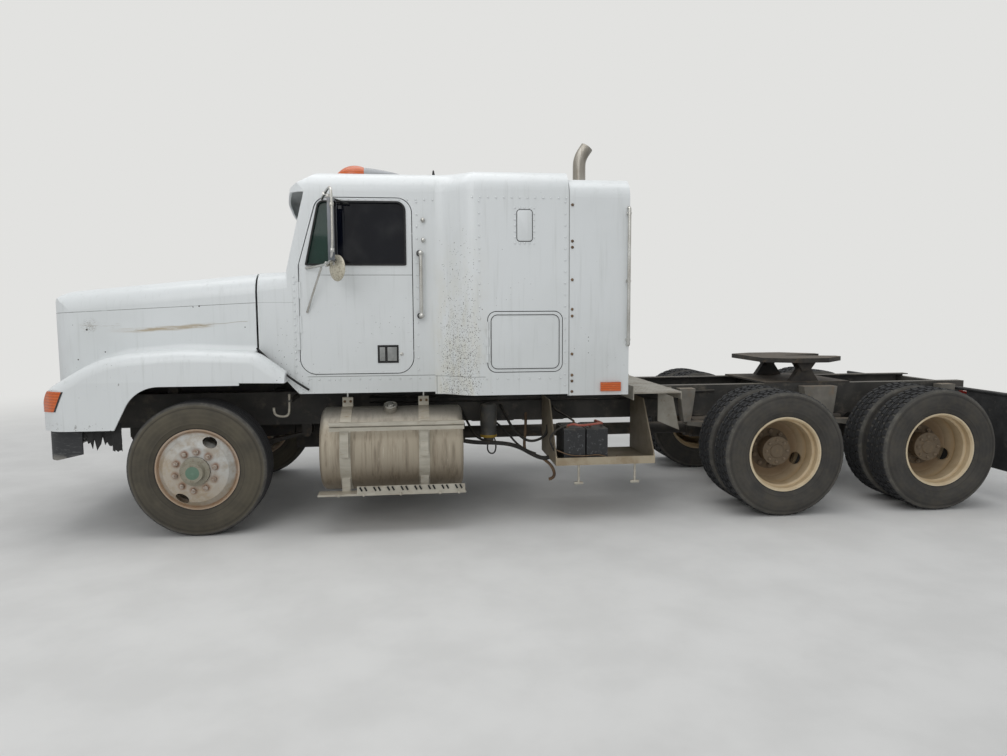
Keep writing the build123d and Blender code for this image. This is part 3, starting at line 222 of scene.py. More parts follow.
# %% Named places on the vehicle
AXLE_X = -2.71
TYRE_RADIUS = 0.499
FRONT_Y = 1.02
FRONT_WHEEL = Vector((AXLE_X, -FRONT_Y, TYRE_RADIUS))
DRIVE_X = (AXLE_X + 4.487, AXLE_X + 5.808)
DUAL_Y = 0.912
DUAL_GAP = 0.168


def along(x):
    """A station measured from the front axle, in the frame's own X."""
    return x + AXLE_X


print("front axle at", AXLE_X, "drive axles at", [round(x, 3) for x in DRIVE_X])

# %% [markdown]
# White fleet enamel is one colour from afar. Near by it has soft grey weathering, painted shade that
# greys it towards the bottom, brown specks low down where stones hit, fine streaks that rain leaves
# below seams, and a dense patch of chips with a yellow stain on the flare of the sleeper. Each of
# these is a mask on the object's coordinates, laid over the white one after another. A seam between
# two pressed panels is a mask too: a dark line a few millimetres wide that also dips in the bump.

# %% White enamel
WHITE = tone(222, 225, 225)
WEATHER_AND_SHADE_GREY = tone(186, 189, 186)
STAIN = tone(198, 190, 160)
CHIP = tone(58, 46, 36)
SEAM = tone(70, 68, 64)
FLARE = (along(1.80), along(2.04))


def seam_at(value, place, half=0.0022):
    """A thin line where a coordinate has one value."""
    return 1 - (value - place).size().rise(half * 0.5, half)


def enamel(name, low_shade_and_chip_share=1.0, extra=None):
    """White paint with weathering, painted shade low down, streaks, stone chips and whatever marks a panel
    adds.
    """
    made, shader, place = finish(name)
    x, y, z = (place.axis(a) for a in "XYZ")
    clouds = place.noise(1.3, 4).rise(0.42, 0.72)
    streaks = place.stretch(11, 11, 0.6).noise(3.0, 3).rise(0.52, 0.8)
    # Painted shade: the white greys towards the bottom, by an amount that each paint sets; the same amount
    # also sets how many stone chips fall low down.
    low = 1 - z.rise(1.0, 1.9)
    grime_and_low_shade = clouds * 0.22 + streaks * 0.28 + low * 0.3 * low_shade_and_chip_share
    colour = grime_and_low_shade.tint(WHITE, WEATHER_AND_SHADE_GREY)
    flare = x.inside(*FLARE, 0.14) * y.size().rise(0.95, 1.0)
    stain = flare * (1 - z.rise(1.2, 2.5)) * place.stretch(3, 3, 1).noise(6, 4).rise(0.3, 0.8)
    colour = (stain * 0.4).tint(colour, STAIN)
    dense = x.inside(along(1.88), along(1.98), 0.13) * y.size().rise(0.95, 1.0)
    dense = dense * (1 - z.rise(1.25, 1.8)) * 0.9 + dense * (1 - z.rise(1.7, 2.45)) * 0.16
    share = dense + place.noise(2.1, 2).rise(0.5, 0.75) * (1 - z.rise(1.2, 2.1)) * 0.08 * low_shade_and_chip_share
    chips = place.specks(66, share * 0.45 + 0.004, 0.3).most(place.specks(120, share, 0.34))
    colour = (chips * 0.85).tint(colour, CHIP)
    dips = chips * -0.4
    if extra is not None:
        colour, cut = extra(place, x, y, z, colour)
        dips = dips - cut
    orange_peel = place.noise(120, 2) * 0.03 + place.noise(2.2, 2) * 0.3
    wear(shader, place, colour, 0.3 + grime_and_low_shade * 0.3 + chips * 0.3, 0.0, (orange_peel + dips).bump(0.35, 0.003))
    shader.inputs["Coat Weight"].default_value = 0.22
    shader.inputs["Coat Roughness"].default_value = 0.14
    return made


print("flare between", [round(x, 2) for x in FLARE])

# %% [markdown]
# The hood has its own history: a seam that rises a little towards the cab, a long tan scrape on
# the left, a star crack near the nose and a few dark dots. A scrape could be painted on an image.
# Here it is a band round a slowly wandering line, filled with noise drawn out along X, because
# that stays sharp at any distance. Marks of the left side are masked by Y.

# %% Marks on the hood
HOOD_SEAM_Z = 1.642
SCRAPE_Z = 1.548
STAR = (-0.80, 1.547)
DOTS = ((-0.826, 1.518, 0.0085), (-0.90, 1.296, 0.006), (-0.70, 1.352, 0.006), (0.0, 1.688, 0.007),
        (-0.045, 1.682, 0.005), (0.33, 1.53, 0.005))


def hood_marks(place, x, y, z, colour):
    """The hood's side seam, its long tan scrape, the star crack and the small marks."""
    side = y.size().rise(0.72, 0.74)
    rising = z - (x - along(-1.022)) * 0.048
    cut = seam_at(rising, HOOD_SEAM_Z) * side * (1 - place.noise(9, 2).rise(0.6, 0.66) * 0.5)
    colour = (cut * 0.85).tint(colour, SEAM)
    left = 1 - y.rise(-0.72, -0.7)
    wander = place.stretch(1.2, 1, 1).noise(2.2, 2) * 0.05
    run = x.rise(along(-0.72), along(-0.35)) * (1 - x.rise(along(0.0), along(0.14)))
    middle = z - SCRAPE_Z + wander - (x - along(-0.3)) * 0.06
    band = (1 - middle.size().rise(0.004, 0.024)) * run * left
    scrape = band * place.stretch(2.2, 1, 42).noise(3.0, 4, 0.7).rise(0.36, 0.56)
    colour = (scrape * 0.8).tint(colour, tone(166, 146, 112))
    tail = seam_at(middle, 0.003, 0.004) * x.inside(along(0.0), along(0.34), 0.02) * left
    colour = (tail * 0.45).tint(colour, tone(150, 138, 118))
    faint = (1 - (z - 1.545).size().rise(0.008, 0.03)) * x.inside(along(-0.86), along(-0.6), 0.04) * left
    faint = faint * place.stretch(3, 1, 40).noise(4.0, 4, 0.7).rise(0.5, 0.66)
    colour = (faint * 0.5).tint(colour, tone(160, 150, 134))
    star = place.from_centre(along(STAR[0]), STAR[1])
    around = (1 - star.rise(0.02, 0.075)) * left
    cracks = around * place.stretch(1, 1, 1).noise(26, 5, 0.8).inside(0.5, 0.515, 0.012)
    colour = (cracks * 0.8).tint(colour, tone(120, 112, 100))
    for spot_x, spot_z, size in DOTS:
        spot = (1 - place.from_centre(along(spot_x), spot_z).rise(size * 0.7, size)) * left
        colour = spot.tint(colour, tone(48, 42, 38))
    worn = (1 - z.rise(0.82, 0.88)) * place.noise(26, 3, 0.7).rise(0.6, 0.64)
    scuffs = x.inside(along(-0.95), along(-0.45), 0.1) * z.inside(1.1, 1.28, 0.03) * left
    scuffs = scuffs * place.stretch(1, 1, 0.5).noise(34, 4, 0.75).rise(0.66, 0.69)
    colour = ((worn + scuffs) * 0.6).tint(colour, tone(96, 90, 82))
    return colour, cut


print("marks on the hood: seam, scrape, star crack and", len(DOTS), "dots")

# %% [markdown]
# The cab, the sleeper and the doors are pressed panels that meet in thin lines. Each line could be
# a cut in the mesh, but the solids stay as they are, so a line is a dark mask a few
# millimetres wide that dips in the bump. Stones have scratched the cowl and the doors low down.

# %% Marks on the cab, the sleeper and the doors
def cab_marks(place, x, y, z, colour):
    """Panel seams of the cab's side: the cowl's crease, the skirt seam and the scratched cowl."""
    side = y.size().rise(0.93, 0.94)
    crease = seam_at(z, 1.712, 0.002) * (1 - x.rise(along(0.7), along(0.71)))
    skirt = seam_at(z, 1.157, 0.0028) * x.rise(along(0.78), along(0.8))
    cut = (crease * 0.5).most(skirt) * side
    colour = (cut * 0.8).tint(colour, SEAM)
    scratches = place.stretch(5, 1, 1).noise(16, 5, 0.75).rise(0.64, 0.68) * (1 - z.rise(1.35, 1.75))
    cowl = (1 - x.rise(along(0.72), along(0.74))) * side
    colour = (scratches * cowl * 0.5).tint(colour, tone(112, 104, 94))
    return colour, cut


def sleeper_marks(place, x, y, z, colour):
    """Panel seams of the sleeper's side."""
    side = y.size().rise(1.0, 1.02)
    post = seam_at(x, along(1.752), 0.0025) * (1 - z.rise(1.15, 1.16))
    skirt = seam_at(z, 1.150, 0.0025) * (1 - x.rise(along(2.10), along(2.12)))
    front = seam_at(x, along(2.742), 0.004)
    cut = post.most(skirt).most(front) * side
    colour = (cut * 0.75).tint(colour, SEAM)
    return colour, cut


def door_marks(place, x, y, z, colour):
    """The crease below the door's window, and scratches low on its skin."""
    crease = seam_at(z, 1.912, 0.003) * x.rise(along(0.86), along(0.96))
    scratches = place.stretch(1, 1, 5).noise(11, 5, 0.8).rise(0.66, 0.69) * (1 - z.rise(1.5, 1.95))
    colour = (crease * 0.7).tint((scratches * 0.4).tint(colour, tone(120, 112, 102)), SEAM)
    return colour, crease


print("marks ready", [f.__name__ for f in (cab_marks, sleeper_marks, door_marks)])

# %% [markdown]
# The five paints are one recipe with more or less painted shade and stone chips low down, and each panel's
# own marks.

# %% Mix the paints
hood_paint = enamel("hood_enamel", 0.5, hood_marks)
cab_paint = enamel("cab_enamel", 1.3, cab_marks)
door_paint = enamel("door_enamel", 0.8, door_marks)
sleeper_paint = enamel("sleeper_enamel", 0.8, sleeper_marks)
roof_paint = enamel("roof_enamel", 0.3)
print("paints", [m.name for m in bpy.data.materials if "enamel" in m.name])

# %% [markdown]
# Below the paint everything is steel, cast iron, aluminium or rubber, and all of it is
# dusty. One recipe serves for the steels: a base tone, a second tone in clouds, rust or dust
# where another noise is high, and a bump from the same noises, so that what looks dirty also
# feels rough. Dust also settles on whatever faces up, which the surface's own normal tells.

# %% Metals and plastic
def weathered(name, base, second, dust, rough, metal, scale=4.0, streak=(1, 1, 1), amount=0.5,
              bump=0.25):
    """A surface with a base tone, clouds of a second one, and dust or rust over both."""
    made, shader, place = finish(name)
    drawn = place.stretch(*streak)
    clouds = drawn.noise(scale, 4).rise(0.35, 0.7)
    patches = drawn.noise(scale * 2.3, 5, 0.65).rise(0.66 - 0.3 * amount, 0.9 - 0.2 * amount)
    up = place.node("ShaderNodeNewGeometry", {}, {}, "Normal").axis("Z").rise(0.5, 1.0)
    colour = clouds.tint(base, second)
    colour = (patches * 0.7 + up * 0.25).tint(colour, dust)
    grain = place.noise(90, 3) * 0.5 + drawn.noise(scale * 5, 3)
    wear(shader, place, colour, rough + patches * 0.2, metal * (1 - patches * 0.7), grain.bump(bump, 0.003))
    return made


EVEN = (1, 1, 1)
dusty_black = weathered("frame_black_dusty", tone(50, 49, 47), tone(78, 75, 70), tone(128, 120, 106),
                        0.65, 0.0, 3.0)
axle_iron = weathered("axle_iron", tone(46, 44, 42), tone(70, 65, 58), tone(112, 96, 76), 0.7, 0.1, 5.0)
cast_grey = weathered("casting_dusty", tone(116, 112, 104), tone(140, 135, 126), tone(140, 118, 92),
                      0.75, 0.1, 6.0)
engine_grey = weathered("engine_grime", tone(44, 42, 40), tone(64, 60, 55), tone(92, 82, 66),
                        0.75, 0.0, 6.0)
step_metal = weathered("step_aluminium", tone(170, 165, 152), tone(188, 183, 170), tone(136, 116, 90),
                       0.55, 0.35, 5.0, (1, 4, 4), 0.5, 0.2)
bright_steel = weathered("bright_steel", tone(200, 200, 197), tone(176, 174, 168), tone(120, 104, 84),
                         0.24, 0.9, 7.0, EVEN, 0.1, 0.06)
pipe_metal = weathered("pipe_aluminised", tone(176, 172, 164), tone(140, 134, 124), tone(110, 84, 58),
                       0.42, 0.7, 4.0, (3, 3, 0.6), 0.4, 0.15)
rusty_iron = weathered("rusty_iron", tone(92, 74, 58), tone(120, 98, 76), tone(140, 108, 76),
                       0.8, 0.1, 9.0, EVEN, 0.5, 0.5)
stud_steel = weathered("stud_steel", tone(176, 168, 158), tone(142, 124, 108), tone(112, 70, 44),
                       0.5, 0.45, 40.0, EVEN, 0.55, 0.3)
dusty_stud = weathered("dusty_stud_steel", tone(118, 104, 88), tone(138, 124, 106), tone(150, 132, 108),
                       0.75, 0.1, 30.0, EVEN, 0.5, 0.3)
print("finishes so far", len(bpy.data.materials))

# %% [markdown]
# Rubber, moulded plastic and the cab's vinyl come from the same recipe, without metal. Nothing
# here is pure black: outdoors even a new seal reads as a dark grey.

# %% Rubbers and plastics
soft_black = weathered("moulded_black", tone(38, 38, 39), tone(56, 56, 56), tone(112, 108, 100),
                       0.6, 0.0, 9.0, EVEN, 0.3, 0.3)
seal_black = weathered("seal_rubber", tone(20, 20, 21), tone(34, 34, 34), tone(70, 68, 64),
                       0.7, 0.0, 12.0, EVEN, 0.2, 0.2)
hose_black = weathered("hose_rubber", tone(34, 33, 32), tone(50, 48, 45), tone(112, 100, 82),
                       0.75, 0.0, 14.0, EVEN, 0.4, 0.3)
vinyl = weathered("cabin_vinyl", tone(72, 74, 78), tone(86, 88, 92), tone(110, 106, 100),
                  0.6, 0.0, 14.0, EVEN, 0.2, 0.4)
print("finishes so far", len(bpy.data.materials))

# %% [markdown]
# The tank is bare aluminium that years of diesel and dust have stained in long upright streaks,
# with a duller foot. The streaks are noise drawn out along Z, because rain and fuel run down.

# %% Tank
def streaked_tank():
    """Aluminium with long upright stains."""
    made, shader, place = finish("tank_aluminium")
    z = place.axis("Z")
    streak = place.stretch(16, 6, 0.8)
    dark = streak.noise(2.0, 5, 0.6).rise(0.45, 0.72)
    brown = place.stretch(9, 4, 0.5).noise(1.7, 5, 0.7).rise(0.55, 0.76)
    pale = place.stretch(22, 6, 2.0).noise(3.0, 4, 0.7).rise(0.6, 0.74)
    top = z.rise(0.72, 0.9)
    foot = 1 - z.rise(0.34, 0.62)
    colour = (dark * 0.8).tint(tone(166, 156, 138), tone(122, 110, 94))
    colour = (brown * 0.65).tint(colour, tone(104, 82, 60))
    colour = (pale * 0.55).tint(colour, tone(198, 190, 174))
    colour = (foot * 0.6).tint(colour, tone(104, 92, 78))
    colour = (top * 0.8).tint(colour, tone(140, 137, 130))
    wear(shader, place, colour, 0.55 - top * 0.15 + dark * 0.1, 0.25 + top * 0.3,
         (streak.noise(6, 4) + place.noise(60, 3) * 0.4).bump(0.2, 0.002))
    return made


tank_metal = streaked_tank()
print("tank finish", tank_metal.name)

# %% [markdown]
# The deck plate is pierced for grip. Thousands of cut holes would cost more faces than they show,
# so they are dots of painted shade that dip in the bump, from the product of two sine waves.

# %% Deck plate
HOLE_PITCH = 105.0


def pierced_deck():
    """Galvanised plate with rows of grip holes, painted as dark shade, where it faces up."""
    made, shader, place = finish("deck_galvanised")
    x, y, z = (place.axis(a) for a in "XYZ")
    up = place.node("ShaderNodeNewGeometry", {}, {}, "Normal").axis("Z").rise(0.7, 0.9)
    wave = x.math("SINE", x * HOLE_PITCH) * y.math("SINE", y * HOLE_PITCH)
    holes = wave.size().rise(0.66, 0.74) * up
    clouds = place.noise(5, 4).rise(0.35, 0.7)
    colour = clouds.tint(tone(168, 164, 154), tone(142, 136, 124))
    colour = (place.noise(14, 5, 0.7).rise(0.55, 0.7) * 0.5).tint(colour, tone(122, 104, 80))
    # Painted shade: each hole is a dark dot, the shade that an opening would show.
    colour = (holes * 0.85).tint(colour, tone(52, 50, 46))
    wear(shader, place, colour, 0.6, 0.3, (place.noise(70, 3) * 0.4 - holes).bump(0.3, 0.003))
    return made


deck_metal = pierced_deck()
print("deck finish", deck_metal.name)

# %% [markdown]
# A tyre's rubber is black only when new. Here the sidewall is grey-brown with dust that sits in
# rings, the shoulder is scuffed lighter, and the tread is dark again. All of it depends on the
# distance from the wheel's centre, so each axle gets its own copy of the finish.

# %% Tyre rubber
def tyre_finish(name, x, dust, tread):
    """Dusty rubber in rings round one axle."""
    made, shader, place = finish(name)
    reach = place.from_centre(x, TYRE_RADIUS)
    patches = place.noise(3.2, 4, 0.6).rise(0.38, 0.68)
    rings = reach.math("SINE", reach * 190).rise(-0.6, 1.0)
    wall = reach.inside(0.315, 0.468, 0.02)
    mottle = place.noise(11, 4, 0.7).rise(0.4, 0.7)
    colour = (wall * (0.45 + patches * 0.4 + rings * 0.08)).tint(tread, dust)
    colour = (wall * mottle * 0.35).tint(colour, tone(86, 80, 68))
    edge = reach.inside(0.474, 0.488, 0.008) * (0.35 + mottle * 0.45)
    colour = edge.tint(colour, tone(100, 97, 90))
    lines = reach.inside(0.452, 0.458, 0.004).most(reach.inside(0.335, 0.339, 0.003))
    colour = (lines * 0.35).tint(colour, tone(48, 46, 44))
    grain = place.noise(150, 3) * 0.3 + rings * 0.25 + place.noise(24, 3) * 0.3
    wear(shader, place, colour, 0.82 + wall * 0.1, 0.0, grain.bump(0.2, 0.002))
    return made


front_rubber = tyre_finish("front_tyre_rubber", FRONT_WHEEL.x, tone(92, 86, 72), tone(36, 36, 38))
drive_rubber = [tyre_finish(f"drive_tyre_rubber_{i + 1}", x, tone(76, 73, 68), tone(32, 33, 35))
                for i, x in enumerate(DRIVE_X)]
print("tyre finishes", front_rubber.name, [m.name for m in drive_rubber])

# %% [markdown]
# Wheels are treated the same way: rim, disc and hub differ by their distance from the centre. The
# steered discs are white with a rusty rim, and rust has crept out in halos round their ten nuts.
# The halos are a ring of soft spots, placed by sine and cosine on the bolt circle.

# %% Steered wheels
BOLT_CIRCLE = 0.143
STEERED_BOLT_START = 12


def steered_wheel_finish():
    """A painted steel disc with a rusty rim, rust halos round its nuts and a green oil cap."""
    made, shader, place = finish("steered_wheel_white_rust")
    x, z = place.axis("X"), place.axis("Z")
    reach = place.from_centre(FRONT_WHEEL.x, TYRE_RADIUS)
    mottle = place.noise(9, 5, 0.65).rise(0.4, 0.66)
    fine = place.noise(34, 5, 0.75).rise(0.5, 0.66)
    colour = mottle.tint(tone(184, 184, 180), tone(160, 152, 140))
    slant = TYRE_RADIUS + FRONT_WHEEL.x * 0.5
    lower = 1 - (z + x * 0.5).rise(slant - 0.1, slant + 0.16)
    colour = (lower * 0.45 + fine * 0.2).tint(colour, tone(168, 144, 110))
    rim = reach.rise(0.262, 0.278)
    colour = (rim * (0.65 + fine * 0.25)).tint(colour, tone(150, 118, 88))
    lip = reach.rise(0.287, 0.292)
    colour = (lip * 0.5).tint(colour, tone(176, 158, 138))
    halo = None
    for turn in range(10):
        angle = math.radians(36 * turn + STEERED_BOLT_START)
        spot = place.from_centre(FRONT_WHEEL.x + BOLT_CIRCLE * math.cos(angle),
                                 TYRE_RADIUS + BOLT_CIRCLE * math.sin(angle))
        near = 1 - spot.rise(0.014, 0.042)
        halo = near if halo is None else halo.most(near)
    rust = halo * (0.35 + place.noise(6, 3).rise(0.4, 0.6) * 0.5)
    colour = rust.tint(colour, tone(134, 88, 54))
    hub = 1 - reach.rise(0.103, 0.108)
    colour = (hub * 0.9).tint(colour, (fine * 0.6).tint(tone(138, 134, 118), tone(104, 88, 68)))
    cap = 1 - reach.rise(0.046, 0.05)
    colour = (cap * 0.85).tint(colour, tone(84, 118, 100))
    grain = place.noise(60, 4) * 0.5 + rust * 0.4 + fine * 0.3
    wear(shader, place, colour, 0.55 + rust * 0.2, 0.15, grain.bump(0.3, 0.002))
    return made


steered_disc = steered_wheel_finish()
print("steered wheel finish", steered_disc.name)

# %% [markdown]
# The drive wheels are cream, and their dish is deep. Painted shade, where the rim keeps the light out,
# turns the tone brown with depth along Y as well as towards the hub, and lies in fine rings on the rim's
# flange.

# %% Drive wheels
def drive_wheel_finish(name, x):
    """Cream paint in a deep dish, with painted shade that turns it brown with depth and towards a grey-brown
    hub.
    """
    made, shader, place = finish(name)
    reach = place.from_centre(x, TYRE_RADIUS)
    mottle = place.noise(7, 5, 0.65).rise(0.4, 0.68)
    fine = place.noise(30, 4, 0.7).rise(0.5, 0.7)
    rings = reach.math("SINE", reach * 420).rise(0.2, 1.0)
    colour = (mottle * 0.6).tint(tone(214, 198, 168), tone(186, 164, 128))
    # Painted shade: the dish goes brown the farther it lies inboard of the outer lip.
    inner = 1 - place.axis("Y").size().rise(0.98, 1.19)
    colour = (inner * 0.62).tint(colour, tone(122, 98, 68))
    # Painted shade: darker brown again towards the hub.
    deep = 1 - reach.rise(0.2, 0.268)
    colour = (deep * 0.8 + fine * 0.1).tint(colour, tone(124, 102, 76))
    # Painted shade in fine rings on the rim's flange ring.
    ring = reach.inside(0.262, 0.284, 0.004)
    colour = (ring * (0.3 + rings * 0.35)).tint(colour, tone(176, 146, 102))
    hub = 1 - reach.rise(0.166, 0.172)
    colour = (hub * 0.9).tint(colour, (fine * 0.6).tint(tone(100, 88, 72), tone(124, 106, 82)))
    grain = place.noise(70, 3) * 0.5 + fine * 0.3
    wear(shader, place, colour, 0.6 + deep * 0.2, 0.0, grain.bump(0.25, 0.002))
    return made


drive_disc = [drive_wheel_finish(f"drive_wheel_cream_{i + 1}", x) for i, x in enumerate(DRIVE_X)]
print("drive wheel finishes", [m.name for m in drive_disc])

# %% [markdown]
# The side glass reads almost black, with the cabin only hinted at, because the cab is dark inside
# and the sky does not reach in. The vent pane in front is a little green.

# %% Glass
def pane(name, colour, clear):
    """Tinted glass that hints at the cabin behind it, with dust low down."""
    made, shader, place = finish(name)
    dust = place.noise(5, 4).rise(0.45, 0.8) * 0.08
    vent = 1 - place.axis("X").rise(along(0.985), along(0.99))
    colour = (vent * 0.6).tint(colour, tone(50, 92, 78))
    wear(shader, place, dust.tint(colour, tone(150, 150, 146)), 0.04 + dust * 2)
    shader.inputs["Transmission Weight"].default_value = clear
    shader.inputs["IOR"].default_value = 1.35
    return made


dark_glass = pane("dark_glass", tone(10, 14, 26), 0.4)
screen_glass = pane("windscreen_glass", tone(70, 80, 86), 0.8)
print("glass", dark_glass.name, screen_glass.name)

# %% [markdown]
# Some solids hold two real materials, as a roof lamp with its lens and tail does. They could be
# split, but a mask on the object's coordinates, where the real joint is, gives the same line. The
# ribs that a lens has inside are level stripes of a deeper tone.

# %% Roof, side and tail lamps
POD_SPLIT = 1.225


def ribbed(place, colour, deep, count):
    """Two tones of one lens, in level ribs."""
    z = place.axis("Z")
    lines = z.math("SINE", z * count).rise(-0.4, 0.9)
    scratched = place.stretch(1, 1, 6).noise(16, 4, 0.75).rise(0.56, 0.64)
    return (scratched * 0.3).tint((lines * 0.55).tint(colour, deep), tone(196, 160, 120)), lines


def roof_and_side_lamps():
    """Amber lenses, grey tails on the roof pods and red lenses at the rear."""
    made, shader, place = finish("lamp_lenses")
    x, z = place.axis("X"), place.axis("Z")
    orange, lines = ribbed(place, tone(204, 92, 22), tone(150, 58, 10), 420.0)
    tail = x.rise(along(POD_SPLIT - 0.001), along(POD_SPLIT)) * z.rise(2.6, 2.61)
    grey = place.noise(20, 3).tint(tone(166, 168, 170), tone(140, 142, 144))
    colour = tail.tint(orange, grey)
    rear = x.rise(along(6.0), along(6.01))
    red = ribbed(place, tone(160, 24, 18), tone(104, 12, 10), 420.0)[0]
    colour = rear.tint(colour, red)
    wear(shader, place, colour, 0.28 + tail * 0.3, 0.0, (lines * (1 - tail)).bump(0.25, 0.002))
    shader.inputs["Coat Weight"].default_value = 0.4
    return made


lamp_lens = roof_and_side_lamps()
print("lamp finish", lamp_lens.name)

# %% [markdown]
# The nose lamps are one solid a side: a clear fluted headlamp in a dark bezel, and an amber lamp
# round the corner whose rear edge slants. Y divides the two, and a slanted line ends the amber.

# %% Headlamps and corner lamps
HEADLAMP_OUTER = 0.905


def nose_lamps():
    """Clear headlamps in a dark bezel, and the amber lamp round the corner with its black rim."""
    made, shader, place = finish("nose_lamp_lenses")
    x, y, z = (place.axis(a) for a in "XYZ")
    orange, lines = ribbed(place, tone(212, 98, 28), tone(164, 68, 14), 300.0)
    corner = y.size().rise(HEADLAMP_OUTER + 0.004, HEADLAMP_OUTER + 0.006)
    slant = x - along(-0.945) - (z - 0.943) * 0.455
    orange = slant.rise(-0.016, -0.011).tint(orange, tone(28, 26, 25))
    flutes = y.math("SINE", y * 520).rise(-0.2, 0.9)
    bright = (flutes * 0.5).tint(tone(214, 218, 220), tone(150, 156, 160))
    lens = x.inside(along(-1.16), along(-1.08), 0.004)
    rim = place.noise(20, 3).tint(tone(54, 54, 56), tone(74, 74, 76))
    colour = corner.tint(lens.tint(rim, bright), orange)
    wear(shader, place, colour, 0.2, 0.0, lines.bump(0.2, 0.002))
    shader.inputs["Coat Weight"].default_value = 0.5
    return made


nose_lens = nose_lamps()
print("nose lamp finish", nose_lens.name)

# %% [markdown]
# Three more solids hold two materials each. The bumper has a bright pressed centre between ends
# of moulded black plastic, whose lower edges are scraped grey.

# %% Bumper
def bumper_finish():
    """A dulled bright centre, and scraped black plastic round the corners."""
    made, shader, place = finish("bumper_steel_and_plastic")
    y, z = place.axis("Y"), place.axis("Z")
    end = y.size().rise(0.80, 0.802)
    dull = place.noise(6, 4).rise(0.35, 0.7)
    steel = dull.tint(tone(186, 186, 184), tone(150, 148, 142))
    scraped = place.stretch(1, 1, 7).noise(9, 5, 0.75).rise(0.55, 0.62)
    plastic = (scraped * 0.5).tint(tone(48, 49, 51), tone(98, 98, 98))
    edge = (1 - z.rise(0.585, 0.63)) * place.noise(14, 4).rise(0.45, 0.6)
    plastic = (edge * 0.6).tint(plastic, tone(150, 146, 138))
    behind = place.axis("X").rise(along(-0.80), along(-0.79))
    colour = behind.tint(end.tint(steel, plastic), tone(46, 45, 43))
    wear(shader, place, colour, 0.35 + end * 0.3, 0.8 - end * 0.8, (scraped + dull).bump(0.2, 0.002))
    return made


bumper_metal = bumper_finish()
print("bumper finish", bumper_metal.name)

# %% [markdown]
# The battery carrier is a dusty aluminium tray with two black cases in it, and its inside is darker
# because it lies in shade and oil. Each mirror solid has a bright tube and a dark head.

# %% Battery carrier and mirrors
def battery_finish():
    """Dusty aluminium for the tray, black plastic with pale scratches for the two cases."""
    made, shader, place = finish("battery_tray_and_cases")
    x, y, z = (place.axis(a) for a in "XYZ")
    cases = y.size().inside(0.735, 1.075, 0.002) * z.rise(0.449, 0.451)
    cases = cases * x.inside(along(2.725), along(3.085), 0.002)
    dirt = place.noise(7, 5, 0.6).rise(0.4, 0.66)
    tray = (dirt * 0.7).tint(tone(170, 158, 136), tone(138, 120, 94))
    inner = y.size().rise(1.092, 1.09)
    tray = (inner * 0.65).tint(tray, tone(84, 76, 64))
    scratch = place.stretch(1, 3, 1).noise(34, 5, 0.75).rise(0.56, 0.66)
    case = (scratch * 0.6).tint(tone(34, 35, 37), tone(118, 120, 122))
    wear(shader, place, cases.tint(tray, case), 0.65 - cases * 0.15, 0.15 - cases * 0.15,
         (dirt * 0.5 + scratch * 0.4).bump(0.2, 0.002))
    return made


def mirror_finish():
    """A bright tube with a dulled head behind it."""
    made, shader, place = finish("mirror_tube_and_head")
    x, y, z = (place.axis(a) for a in "XYZ")
    head = x.inside(along(1.0336), along(1.0785), 0.0004) * y.size().rise(1.193, 1.194) * z.rise(1.98, 1.99)
    dull = place.noise(9, 4).rise(0.4, 0.7)
    tube = (dull * 0.5).tint(tone(206, 206, 202), tone(160, 156, 148))
    back = place.stretch(1, 6, 1).noise(7, 3).rise(0.4, 0.6).tint(tone(30, 31, 34), tone(64, 66, 70))
    wear(shader, place, head.tint(tube, back), 0.3 + head * 0.2, 0.8 - head * 0.7, dull.bump(0.1, 0.002))
    return made


battery_metal = battery_finish()
mirror_metal = mirror_finish()
print("two-material solids", bumper_metal.name, battery_metal.name, mirror_metal.name)

# %% [markdown]
# Each solid of the frame is named after its part, so a table from the start of a name to a finish
# dresses them all. The longest start that fits wins, as "hood_lamps" does over "hood".

# %% Give every solid its finish
FINISHES = {
    "hood": hood_paint, "cab_shell": cab_paint, "roof_caps": roof_paint, "sun_visor": roof_paint,
    "door": door_paint, "sleeper_shell": sleeper_paint, "side_extenders": sleeper_paint,
    "luggage_door": sleeper_paint, "windshield": screen_glass, "door_glass": dark_glass,
    "frame_rails": dusty_black, "crossmembers": dusty_black, "rear_suspension": cast_grey,
    "drive_axles": axle_iron, "driveshafts": axle_iron, "front_axle": axle_iron, "knuckle": axle_iron,
    "tie_rod": axle_iron, "fifth_wheel_base": axle_iron, "fifth_wheel_plate": axle_iron,
    "engine": engine_grey, "front_bumper": bumper_metal, "fuel_tanks": tank_metal, "tank_steps": step_metal,
    "battery_box": battery_metal, "deck_plate": deck_metal, "exhaust_stack": pipe_metal,
    "grab_rails": bright_steel, "mirror": mirror_metal, "lamps": lamp_lens, "hood_lamps": nose_lens,
    "grille": bright_steel, "dashboard": vinyl, "seats": vinyl, "mud_flaps": soft_black,
    "air_tanks": dusty_black, "front_wheel": steered_disc, "drive_wheel_1": drive_disc[0],
    "drive_wheel_2": drive_disc[1], "front_tyre": front_rubber, "drive_tyres_1": drive_rubber[0],
    "drive_tyres_2": drive_rubber[1],
}
for node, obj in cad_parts.items():
    stem = max((key for key in FINISHES if node.startswith(key)), key=len)
    for part_slot in obj.material_slots:
        part_slot.material = FINISHES[stem]
print("dressed", len(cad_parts), "solids")

# %% [markdown]
# From here on, small pieces are modelled as by hand, with Blender's own operators. These helpers
# keep that short: one adds a primitive with nothing else selected, one selects faces in edit mode
# by a test, one adds a modifier and applies it, and one draws a cube out to its measures.

# %% Add, select and modify
def begin(kind, name, **sizes):
    """Adds a primitive with nothing else selected, and names it."""
    bpy.ops.object.select_all(action="DESELECT")
    getattr(bpy.ops.mesh, f"primitive_{kind}_add")(**sizes)
    piece = bpy.context.object
    piece.name = name
    return piece


